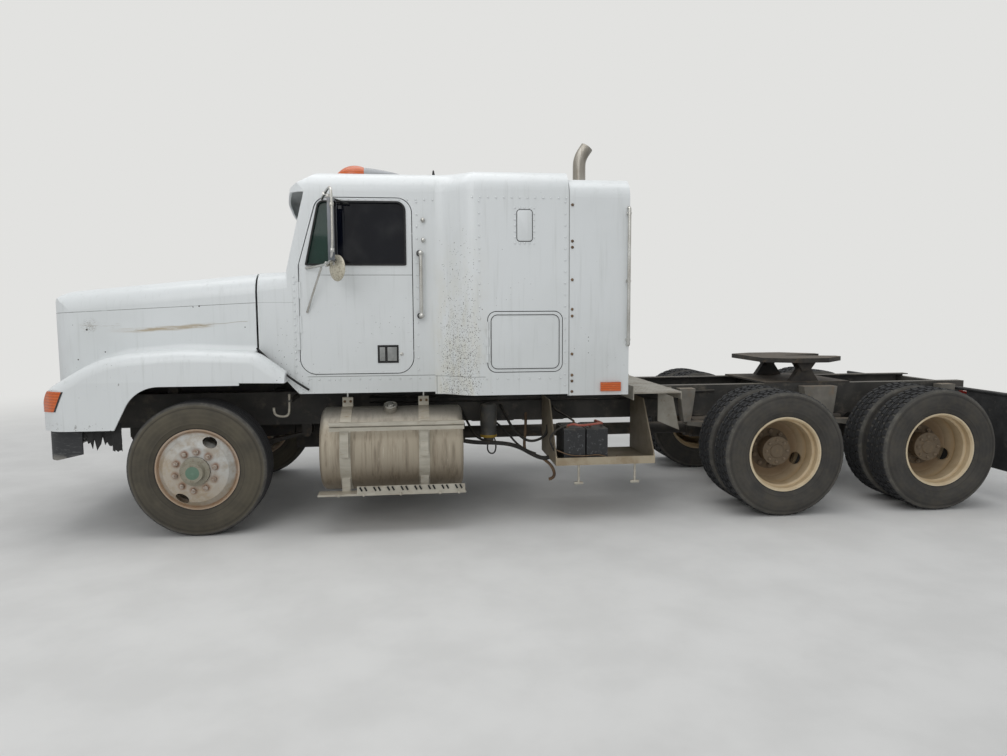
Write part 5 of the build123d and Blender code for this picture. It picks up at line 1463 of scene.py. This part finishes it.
# %% Filler caps
LEAN = 20
TANK_RADIUS = 0.350
cap = begin("cylinder", "filler_cap_left", vertices=28, radius=0.052, depth=0.022, location=(0, 0, 0.011))
bpy.ops.object.mode_set(mode="EDIT")
pick_faces(lambda middle, normal: normal.z > 0.9)
for wall, lift in ((0.012, -0.006), (0.016, 0.009)):
    bpy.ops.mesh.inset(thickness=wall)
    bpy.ops.mesh.extrude_region_move(TRANSFORM_OT_translate={"value": (0, 0, lift)})
bpy.ops.object.mode_set(mode="OBJECT")
bpy.ops.object.transform_apply(location=True, rotation=True, scale=True)
modify(cap, "BEVEL", width=0.002, segments=2)
lean = Matrix.Rotation(math.radians(LEAN), 4, "X")
onto_tank = Matrix.Translation((along(1.397), -0.88, 0.588))
cap.data.transform(onto_tank @ lean @ Matrix.Translation((0, 0, TANK_RADIUS)))
both_sides(settle(cap, bright_steel, "chassis"), "chassis")
print("filler cap", cap.name)

# %% [markdown]
# The lower step is a folded plate with slots for grip, in eight leaning pairs. Each slot is painted
# shade: a dark block with its face inset and pushed in, copied to every place. Five bolts below the
# slots hold the step.

# %% Step slots and bolts
SLOT_PAIRS = 8
SLOT_LEAN = 62
slot_shade_model = block("slot_shade_model", (0.034, 0.004, 0.012))
bpy.ops.object.mode_set(mode="EDIT")
pick_faces(lambda middle, normal: normal.y < -0.9)
bpy.ops.mesh.inset(thickness=0.003)
bpy.ops.mesh.extrude_region_move(TRANSFORM_OT_translate={"value": (0, 0.003, 0)})
bpy.ops.object.mode_set(mode="OBJECT")
places = []
for pair in range(SLOT_PAIRS):
    for half_step in (-0.017, 0.017):
        where = Matrix.Translation((along(1.197 + 0.1 * pair + half_step), -1.2545, 0.343))
        places.append(where @ Matrix.Rotation(math.radians(SLOT_LEAN), 4, "Y"))
# The dark slot pieces are painted shade, where the cut slots would show the dark behind the plate.
slots = settle(spread(slot_shade_model, places, "step_slots_left"), seal_black, "chassis")
both_sides(slots, "chassis")
bpy.data.objects.remove(slot_shade_model)
spots = [Matrix.Translation((along(x), -1.2535, 0.299)) for x in (1.02, 1.20, 1.47, 1.76, 1.90)]
both_sides(settle(spread(bolt, spots, "step_bolts_left"), step_metal, "chassis"), "chassis")
bpy.data.objects.remove(bolt)
print("step slots", len(places), "and bolts", len(spots), "a side")

# %% [markdown]
# The two black batteries have lids with a raised middle. A lid is a block whose top is inset and
# pulled up, with its edges softened.

# %% Battery lids
battery_case = weathered("battery_case", tone(34, 35, 37), tone(52, 53, 55), tone(110, 104, 94),
                         0.55, 0.0, 14.0)
CASES = (2.815, 2.995)
for number, x in enumerate(CASES, start=1):
    lid = block(f"battery_lid_{number}", (0.172, 0.334, 0.016), (along(x), -0.905, 0.712))
    bpy.ops.object.mode_set(mode="EDIT")
    pick_faces(lambda middle, normal: normal.z > 0.9)
    bpy.ops.mesh.inset(thickness=0.014)
    bpy.ops.mesh.extrude_region_move(TRANSFORM_OT_translate={"value": (0, 0, 0.006)})
    bpy.ops.object.mode_set(mode="OBJECT")
    modify(lid, "BEVEL", width=0.003, segments=2)
    settle(lid, battery_case, "chassis")
print("battery lids", len(CASES))

# %% [markdown]
# Each battery has two round posts, one near its outer edge and one near the frame, across from
# each other. One post is modelled and copied.

# %% Battery posts
POSTS = ((-0.05, -1.03), (0.05, -0.79))
post = begin("cylinder", "post_model", vertices=14, radius=0.010, depth=0.020, location=(0, 0, 0.010))
modify(post, "BEVEL", width=0.002, segments=1)
bpy.ops.object.transform_apply(location=True, rotation=True, scale=True)
places = [Matrix.Translation((along(x + step), y, 0.724)) for x in CASES for step, y in POSTS]
settle(spread(post, places, "battery_posts"), rusty_iron, "chassis")
bpy.data.objects.remove(post)
print("battery posts", len(places))

# %% [markdown]
# A faded red lead loops over the batteries' tops, and a thin wire hangs across their face. Leads
# that are clipped at both ends don't swing, so they are plain tubes along a smooth line. A table
# holds each one's radius, material and points, and one loop makes them.

# %% Leads
red_lead = weathered("red_lead", tone(150, 70, 58), tone(176, 104, 88), tone(150, 128, 104), 0.6, 0.0, 12.0)
LEADS = {
    "battery_lead_red": (0.009, red_lead, [
        (2.765, -1.03, 0.742), (2.80, -1.05, 0.762), (2.86, -1.06, 0.745), (2.93, -1.06, 0.752),
        (3.02, -1.05, 0.760), (3.075, -0.95, 0.742), (3.045, -0.79, 0.742)]),
    "battery_lead_black": (0.009, hose_black, [
        (2.865, -0.79, 0.742), (2.84, -0.74, 0.76), (2.80, -0.62, 0.78), (2.76, -0.50, 0.80),
        (2.76, -0.43, 0.82)]),
    "battery_wire": (0.004, rusty_iron, [
        (2.672, -1.078, 0.560), (2.76, -1.082, 0.515), (2.90, -1.082, 0.508), (3.02, -1.082, 0.520),
        (3.12, -1.080, 0.470), (3.15, -1.085, 0.505)]),
    "tray_cable": (0.008, hose_black, [
        (2.662, -1.02, 0.545), (2.62, -1.03, 0.620), (2.64, -1.03, 0.680), (2.72, -1.02, 0.735),
        (2.765, -1.02, 0.735)]),
}


def lay(lines):
    """Makes every tube of a table, all of them held by the frame."""
    for name, (radius, material, points) in lines.items():
        pipe(name, points, radius, material, "chassis")


lay(LEADS)
print("leads", len(LEADS))

# %% [markdown]
# Two rods hang below the battery tray, each with a short bar across its end.

# %% Tray hangers
HANGER_Y = -1.08
HANGER_HALF = 0.036
for number, x in enumerate((2.846, 3.296), start=1):
    rod = [(x, HANGER_Y, z) for z in (0.47, 0.40, 0.30)]
    pipe(f"tray_hanger_{number}", rod, 0.009, step_metal, "chassis")
    bar_between(f"tray_hanger_foot_{number}", (along(x - HANGER_HALF), HANGER_Y, 0.295),
                (along(x + HANGER_HALF), HANGER_Y, 0.295), 0.022, 0.022, step_metal, "chassis")
print("batteries done")

# %% [markdown]
# Between the tank and the batteries hangs the air dryer, a can with a stepped body. It could be
# stacked from cylinders, but a side outline that is spun once gives every step and rounding at
# one go. The can is grey and dusty, with a yellow band that its finish masks by height.

# %% Air dryer
CAN = [(0.0, 0.560), (0.038, 0.560), (0.042, 0.566), (0.042, 0.590), (0.066, 0.596), (0.070, 0.602),
       (0.070, 0.632), (0.066, 0.640), (0.066, 0.690), (0.070, 0.696), (0.070, 0.845), (0.062, 0.870),
       (0.030, 0.882), (0.0, 0.884)]
DRYER_X, DRYER_Y = 2.184, -0.60


def spun_can(name, outline_points, x, y, material, body, steps=28):
    """A body of revolution about an upright axis."""
    piece, work = blank(name)
    points = [work.verts.new((x + r, y, z)) for r, z in outline_points]
    for first_point, second_point in zip(points, points[1:]):
        work.edges.new((first_point, second_point))
    bmesh.update_edit_mesh(piece.data)
    bpy.ops.mesh.select_all(action="SELECT")
    bpy.ops.mesh.spin(steps=steps, angle=math.tau, center=(x, y, 0), axis=(0, 0, 1))
    bpy.ops.mesh.select_all(action="SELECT")
    bpy.ops.mesh.remove_doubles(threshold=0.0001)
    bpy.ops.mesh.normals_make_consistent(inside=False)
    bpy.ops.object.mode_set(mode="OBJECT")
    return settle(piece, material, body)


def dryer_finish():
    """Grey paint with a yellow band and dust."""
    made, shader, place = finish("dryer_paint")
    z = place.axis("Z")
    dust = place.noise(9, 4).rise(0.4, 0.7)
    colour = (dust * 0.6).tint(tone(72, 72, 70), tone(122, 114, 100))
    band = z.inside(0.595, 0.618, 0.002)
    colour = (band * 0.85).tint(colour, tone(176, 142, 44))
    wear(shader, place, colour, 0.6, 0.0, place.noise(50, 3).bump(0.2, 0.003))
    return made


spun_can("air_dryer", CAN, along(DRYER_X), DRYER_Y, dryer_finish(), "chassis")
bar_between("dryer_bracket", (along(DRYER_X), -0.54, 0.80), (along(DRYER_X), -0.431, 0.80), 0.05, 0.05,
            dusty_black, "chassis")
print("air dryer", round(CAN[-1][1] - CAN[0][1], 3), "m tall")

# %% [markdown]
# Around the dryer run bent rods and hoses, and two lines follow the frame rail to the rear. They
# are clipped to the frame at both ends, so the table of tubes serves again.

# %% Rods, hoses and rail lines
LINES = {
    "dryer_hose": (0.006, hose_black, [
        (DRYER_X, -0.60, 0.575), (DRYER_X - 0.02, -0.62, 0.50), (DRYER_X + 0.01, -0.64, 0.455),
        (DRYER_X + 0.055, -0.64, 0.47), (DRYER_X + 0.06, -0.62, 0.56), (DRYER_X + 0.04, -0.60, 0.60)]),
    "linkage_rod": (0.017, hose_black, [
        (1.935, -0.75, 0.60), (2.05, -0.75, 0.575), (2.24, -0.75, 0.572), (2.40, -0.75, 0.545),
        (2.55, -0.76, 0.455), (2.63, -0.77, 0.430), (2.675, -0.78, 0.448)]),
    "linkage_hook": (0.013, rusty_iron, [
        (2.60, -0.765, 0.445), (2.66, -0.765, 0.400), (2.70, -0.765, 0.350), (2.715, -0.765, 0.290),
        (2.69, -0.765, 0.262), (2.665, -0.765, 0.258)]),
    "lever_rod": (0.012, rusty_iron, [
        (2.505, -0.55, 0.78), (2.49, -0.65, 0.66), (2.46, -0.74, 0.53), (2.47, -0.752, 0.515)]),
    "frame_hose_1": (0.010, hose_black, [
        (1.96, -0.44, 0.82), (2.02, -0.56, 0.70), (2.06, -0.66, 0.62), (2.13, -0.72, 0.585),
        (2.2, -0.735, 0.58)]),
    "frame_hose_2": (0.011, hose_black, [
        (2.30, -0.44, 0.84), (2.36, -0.60, 0.70), (2.42, -0.70, 0.62), (2.52, -0.74, 0.56),
        (2.665, -0.74, 0.62), (2.665, -0.70, 0.70)]),
    "frame_hose_3": (0.009, hose_black, [
        (2.20, -0.44, 0.74), (2.32, -0.58, 0.66), (2.44, -0.68, 0.50), (2.56, -0.74, 0.47)]),
    "rail_line": (0.011, hose_black, [
        (1.2, -0.445, 0.93), (1.9, -0.447, 0.915), (2.6, -0.447, 0.93), (3.3, -0.447, 0.91),
        (4.2, -0.447, 0.93)]),
    "rail_line_2": (0.008, hose_black, [
        (1.2, -0.445, 0.885), (2.0, -0.447, 0.875), (3.2, -0.447, 0.88), (4.0, -0.447, 0.865)]),
}
lay(LINES)
print("rods, hoses and lines", len(LINES))

# %% [markdown]
# Cushions are stuffed, so they are crowned forms and not boxes. Each starts as a subdivided cube.
# Its points are moved on to a rounded box, the broad face is crowned, the sides are
# pulled in between the corners, and a shallow groove round the waist is the seam. Sculpting would
# do this too, but a rule gives the same pad again for the other seat.

# %% Model a cushion
CUTS = 13
SQUARENESS = 7


def cushion(name, low, high, thin, crown, material, lean=None):
    """A stuffed pad that fills a box, its thin axis crowned. Lean turns it about its foot."""
    piece = begin("cube", name, size=2)
    bpy.ops.object.mode_set(mode="EDIT")
    bpy.ops.mesh.select_all(action="SELECT")
    bpy.ops.mesh.subdivide(number_cuts=CUTS)
    bpy.ops.object.mode_set(mode="OBJECT")
    centre, half = (Vector(low) + Vector(high)) / 2, (Vector(high) - Vector(low)) / 2
    broad = [i for i in range(3) if i != thin]
    for point in piece.data.vertices:
        at = point.co.copy()
        reach = max(abs(v) for v in at)
        at = at * (reach / sum(abs(v) ** SQUARENESS for v in at) ** (1 / SQUARENESS))
        over = (1 - at[broad[0]] ** 2) * (1 - at[broad[1]] ** 2)
        pulled = at.copy()
        pulled[thin] = at[thin] * (1 - crown + crown * over)
        for own, other in (broad, broad[::-1]):
            pulled[own] = at[own] * (1 - 0.035 * (1 - at[other] ** 2))
        if abs(at[thin]) < 0.09 and reach > 0.95:
            pulled = pulled * 0.985
        point.co = Vector([centre[i] + pulled[i] * half[i] for i in range(3)])
    if lean is not None:
        foot = Vector((low[0], 0, low[2]))
        turned = Matrix.Rotation(lean, 4, "Y")
        piece.data.transform(Matrix.Translation(foot) @ turned @ Matrix.Translation(-foot))
    settle(piece, material, "chassis", 60)
    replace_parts(piece, "seats")
    return piece


cloth = weathered("seat_cloth", tone(62, 66, 74), tone(76, 80, 88), tone(96, 94, 90), 0.85, 0.0, 20.0)
bedding = weathered("mattress_cloth", tone(96, 98, 104), tone(112, 112, 116), tone(120, 116, 108),
                    0.9, 0.0, 16.0)
print("cloths", cloth.name, bedding.name)

# %% [markdown]
# Each seat is a cushion, a back that leans a little and a vinyl stand below. They take the place
# of the frame's plain seats.

# %% Seats
SEAT_Y = 0.48
BACK_LEAN = math.radians(4.8)
for side, sign in (("left", -1), ("right", 1)):
    y = sign * SEAT_Y
    cushion(f"seat_cushion_{side}", (along(1.18), y - 0.25, 1.405), (along(1.62), y + 0.25, 1.54),
            2, 0.25, cloth)
    cushion(f"seat_back_{side}", (along(1.53), y - 0.24, 1.55), (along(1.62), y + 0.24, 2.24),
            0, 0.3, cloth, BACK_LEAN)
    stand = begin("cube", f"seat_stand_{side}", size=1, location=(along(1.40), y, 1.24))
    stand.scale = (0.32, 0.36, 0.32)
    modify(stand, "BEVEL", width=0.02, segments=3)
    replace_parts(settle(stand, vinyl, "chassis"), "seats")
print("seats 2")

# %% [markdown]
# The mattress of the bunk is made the same way, with less crown, and lies on a plain base across
# the sleeper.

# %% Bunk
cushion("bunk_mattress", (along(1.96), -1.08, 1.68), (along(2.688), 1.08, 1.837), 2, 0.12, bedding)
base = begin("cube", "bunk_base", size=1, location=(along(2.344), 0, 1.367))
base.scale = (0.688, 0.40, 0.62)
modify(base, "BEVEL", width=0.015, segments=2)
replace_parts(settle(base, vinyl, "chassis"), "seats")
print("bunk", base.name)

# %% [markdown]
# Three finishes serve the mirrors: silvered glass, which is a metal that is almost perfectly
# smooth, a dulled and spotted steel for the round one's back, and the grey of the tall case.

# %% Mirror finishes
def mirror_glass_finish():
    """Silvered glass."""
    made, shader, place = finish("mirror_glass")
    silver = place.noise(9, 3).rise(0.4, 0.8).tint(tone(210, 214, 218), tone(170, 172, 172))
    wear(shader, place, silver, 0.06, 1.0)
    return made


def spotted_finish():
    """A dulled, spotted steel back."""
    made, shader, place = finish("spotted_mirror_back")
    spots = place.noise(70, 4, 0.7).rise(0.5, 0.6)
    wear(shader, place, (spots * 0.7).tint(tone(196, 190, 172), tone(140, 130, 108)), 0.5, 0.3)
    return made


case_grey = weathered("mirror_case", tone(100, 104, 110), tone(122, 125, 130), tone(140, 138, 132),
                      0.4, 0.3, 7.0)
silvered, spotted = mirror_glass_finish(), spotted_finish()
print("mirror finishes", silvered.name, spotted.name, case_grey.name)

# %% [markdown]
# The mirrors hang in a bright tube that bows out from the top of the door and comes back above
# its belt. A strut below and a thin arm above hold it. These pieces stand for the simpler
# mirrors of the frame, at the places where the photograph shows them.

# %% Mirror tubes
LOOP = [(0.93, -1.040, 2.465), (0.965, -1.15, 2.490), (1.010, -1.30, 2.505), (1.036, -1.392, 2.490),
        (1.040, -1.394, 2.40), (1.040, -1.394, 2.25), (1.038, -1.394, 2.10), (1.030, -1.390, 2.02),
        (1.000, -1.29, 1.985), (0.90, -1.11, 1.970), (0.80, -1.038, 1.962)]
STRUT = [(0.925, -1.13, 1.962), (0.86, -1.085, 1.80), (0.80, -1.038, 1.636)]
TOP_ARM = [(0.985, -1.20, 2.462), (1.06, -1.12, 2.440), (1.12, -1.036, 2.430)]
pieces = [pipe("mirror_loop_left", LOOP, 0.0100, bright_steel, "door_left"),
          pipe("mirror_strut_left", STRUT, 0.008, bright_steel, "door_left"),
          pipe("mirror_top_arm_left", TOP_ARM, 0.006, seal_black, "door_left")]
print("mirror tubes", [piece.name for piece in pieces])

# %% [markdown]
# The tall head is a shallow case whose rear face is inset for its glass, and the glass is a thin
# plate in it.

# %% Tall mirror
HEAD_Y, HEAD_Z = -1.290, 2.212
case = block("mirror_case_left", (0.046, 0.178, 0.424), (along(1.028), HEAD_Y, HEAD_Z))
bpy.ops.object.mode_set(mode="EDIT")
pick_faces(lambda middle, normal: normal.x > 0.9)
bpy.ops.mesh.inset(thickness=0.008)
bpy.ops.mesh.extrude_region_move(TRANSFORM_OT_translate={"value": (-0.004, 0, 0)})
bpy.ops.object.mode_set(mode="OBJECT")
modify(case, "BEVEL", width=0.006, segments=3)
pieces.append(settle(case, case_grey, "door_left"))
glass = begin("cube", "mirror_glass_left", size=1, location=(along(1.0485), HEAD_Y, HEAD_Z))
glass.scale = (0.003, 0.160, 0.406)
pieces.append(settle(glass, silvered, "door_left"))
print("tall mirror", case.name, glass.name)

# %% [markdown]
# The small round mirror below it is half of a flattened sphere, cut by bisect and turned a little
# towards the camera, so that its spotted back shows.

# %% Round mirror
DOME_TURN = math.radians(40)
dome = begin("uv_sphere", "round_mirror_left", segments=32, ring_count=16, radius=1)
dome.scale = (0.030, 0.094, 0.094)
bpy.ops.object.transform_apply(location=False, rotation=False, scale=True)
bpy.ops.object.mode_set(mode="EDIT")
bpy.ops.mesh.select_all(action="SELECT")
bpy.ops.mesh.bisect(plane_co=(0, 0, 0), plane_no=(1, 0, 0), use_fill=True, clear_outer=True)
bpy.ops.object.mode_set(mode="OBJECT")
modify(dome, "BEVEL", width=0.004, segments=2, limit_method="ANGLE")
dome.data.transform(Matrix.Translation((along(1.055), -1.262, 1.950)) @ Matrix.Rotation(DOME_TURN, 4, "Z"))
pieces.append(settle(dome, spotted, "door_left"))
print("round mirror", dome.name)

# %% [markdown]
# Short sleeves clamp the heads and the arms to the tube. One is modelled, and each place has
# its own turn about X. Then every mirror piece gets its twin, and both take the place of the two
# mirror solids.

# %% Mirror clamps and twins
CLAMPS = [((1.038, -1.388, 2.375), 0), ((1.036, -1.388, 2.065), 0), ((0.975, -1.23, 1.978), 70),
          ((1.036, -1.268, 1.985), 0), ((0.965, -1.15, 2.486), 80), ((1.000, -1.27, 2.450), 0)]
clamp = begin("cylinder", "clamp_model", vertices=20, radius=0.0155, depth=0.030)
modify(clamp, "BEVEL", width=0.003, segments=2)
places = [Matrix.Translation((along(x), y, z)) @ Matrix.Rotation(math.radians(a), 4, "X")
          for (x, y, z), a in CLAMPS]
pieces.append(settle(spread(clamp, places, "mirror_clamps_left"), bright_steel, "door_left"))
bpy.data.objects.remove(clamp)
for piece in pieces:
    twin = mirrored(piece, piece.name.replace("left", "right"), "door_right")
    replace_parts(piece, "mirror_left")
    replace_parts(twin, "mirror_right")
print("mirror pieces a side", len(pieces))

# %% [markdown]
# The grab rail stands on two rubber feet with chrome ends, and two chrome knobs that once held a
# shorter rail sit above it. A knob is a small sphere and a foot is a short cylinder with softened
# ends, so one of each is modelled and copied in three sizes.

# %% Rail knobs and feet
RAIL_ENDS = (2.072, 1.608)
OLD_ENDS = (2.317, 2.170)
knob = begin("uv_sphere", "knob_model", segments=20, ring_count=12, radius=0.017)
foot = begin("cylinder", "foot_model", vertices=20, radius=0.020, depth=0.030)
foot.data.transform(Matrix.Rotation(math.radians(90), 4, "X"))
modify(foot, "BEVEL", width=0.004, segments=2)
knobs = [Matrix.Translation((along(1.662), -1.046, z)) for z in OLD_ENDS]
knobs += [Matrix.Translation((along(1.642), -1.078, z)) @ Matrix.Scale(1.25, 4) for z in RAIL_ENDS]
both_sides(settle(spread(knob, knobs, "rail_knobs_left"), bright_steel, "chassis"), "chassis")
feet = [Matrix.Translation((along(1.634), -1.048, z)) @ Matrix.Scale(1.2, 4) for z in RAIL_ENDS]
feet += [Matrix.Translation((along(1.662), -1.036, z)) @ Matrix.Scale(0.6, 4) for z in OLD_ENDS]
both_sides(settle(spread(foot, feet, "rail_feet_left"), soft_black, "chassis"), "chassis")
print("knobs", len(knobs), "and feet", len(feet), "a side")

# %% [markdown]
# The long rail behind the sleeper stands on three bright feet of the same form.

# %% Rear rail feet
pads = [Matrix.Translation((along(3.192), -1.206, z)) @ Matrix.Scale(0.9, 4) for z in (2.36, 1.86, 1.42)]
rear_feet = settle(spread(foot, pads, "rear_rail_feet_left"), bright_steel, "chassis")
both_sides(rear_feet, "chassis")
bpy.data.objects.remove(knob)
bpy.data.objects.remove(foot)
print("rear feet", len(pads), "a side")

# %% [markdown]
# On the roof's side near the cab's rear edge a short stub is left of an aerial, on a round foot.
# A cone and a low cylinder, both with a bevelled edge, are enough at this size.

# %% Roof stub
STUB_X, STUB_Y = along(1.75), -0.82
stub = begin("cone", "aerial_stub", vertices=16, radius1=0.014, radius2=0.005, depth=0.05,
             location=(STUB_X, STUB_Y, 2.697))
modify(stub, "BEVEL", width=0.002, segments=1)
settle(stub, seal_black, "chassis")
disc = begin("cylinder", "aerial_foot", vertices=20, radius=0.024, depth=0.008,
             location=(STUB_X, STUB_Y, 2.676))
modify(disc, "BEVEL", width=0.002, segments=2)
settle(disc, seal_black, "chassis")
print("roof stub done")

# %% [markdown]
# The studio is a pale floor and two large soft lamps. The floor is one big plane with a faint
# mottle, so that the vehicle has a ground to stand on and to cast its shadow on.

# %% Floor
BACKDROP = tone(226, 226, 224)
FLOOR_SIZE = 400
floor = begin("plane", "floor", size=FLOOR_SIZE, location=(0, 0, 0))
floor_finish, floor_shader, floor_place = finish("pale_floor")
floor_tone = floor_place.noise(2.0, 4).rise(0.3, 0.7).tint(tone(212, 211, 208), tone(204, 203, 200))
wear(floor_shader, floor_place, floor_tone, 0.9)
print("floor", FLOOR_SIZE, "m wide")

# %% [markdown]
# A pale floor that ends at a paler sky leaves a line at the horizon. So the far floor fades into the
# backdrop's own tone, for the camera only: near the vehicle the floor stays a real surface that
# holds its shadow, and the fade gives no light to the vehicle.

# %% Fade to the backdrop
FADE = (4.5, 13.0)
distance = floor_place.node("ShaderNodeVectorMath", {"operation": "LENGTH"}, {0: floor_place}, "Value")
looked_at = floor_place.node("ShaderNodeLightPath", {}, {}, "Is Camera Ray")
far = floor_place.node("ShaderNodeEmission", {}, {"Color": BACKDROP})
near = Wire(floor_place.tree, floor_shader.outputs["BSDF"])
faded = floor_place.node("ShaderNodeMixShader", {}, {0: distance.rise(*FADE) * looked_at, 1: near, 2: far})
floor_place.feed(floor_finish.node_tree.nodes["Material Output"].inputs["Surface"], faded)
floor.data.materials.append(floor_finish)
print("floor fades from", FADE[0], "to", FADE[1], "m")

# %% [markdown]
# The world gives the even, slightly blue light of an open sky. Rays that reach it straight from
# the camera, or through glass or off bright metal, see the backdrop's tone instead.

# %% Sky light
SKY = (0.93, 0.96, 1.0, 1.0)
SKY_STRENGTH = 0.60
world = bpy.data.worlds.new("pale_sky")
bpy.context.scene.world = world
world.use_nodes = True
sky = Wire(world.node_tree)
rays = [sky.node("ShaderNodeLightPath", {}, {}, f"Is {kind} Ray")
        for kind in ("Camera", "Glossy", "Transmission")]
light = Wire(world.node_tree, world.node_tree.nodes["Background"].outputs[0])
light.socket.node.inputs["Color"].default_value = SKY
light.socket.node.inputs["Strength"].default_value = SKY_STRENGTH
backdrop = sky.node("ShaderNodeBackground", {}, {"Color": BACKDROP})
seen = rays[0].most(rays[1]).most(rays[2])
both = sky.node("ShaderNodeMixShader", {}, {0: seen, 1: light, 2: backdrop})
sky.feed(world.node_tree.nodes["World Output"].inputs["Surface"], both)
print("sky strength", SKY_STRENGTH)

# %% [markdown]
# One lamp hangs overhead and the other stands on the camera's side, as an open sky would light
# the left side. Both are large, because a small lamp would draw hard shadows that an overcast day
# doesn't have.

# %% Soft lamps
def soft_lamp(name, place, aim, size, power):
    """A large square lamp at a place, turned towards another."""
    data = bpy.data.lights.new(name, "AREA")
    data.shape = "SQUARE"
    data.size = size
    data.energy = power
    lamp = bpy.data.objects.new(name, data)
    lamp.location = place
    lamp.rotation_euler = (Vector(aim) - Vector(place)).to_track_quat("-Z", "Y").to_euler()
    bpy.context.scene.collection.objects.link(lamp)


soft_lamp("overhead", (-1.5, -1.0, 9.0), (0, 0, 1.0), 8.0, 330)
soft_lamp("camera_side", (-5.0, -9.5, 6.0), (-0.5, 0, 1.2), 6.0, 185)
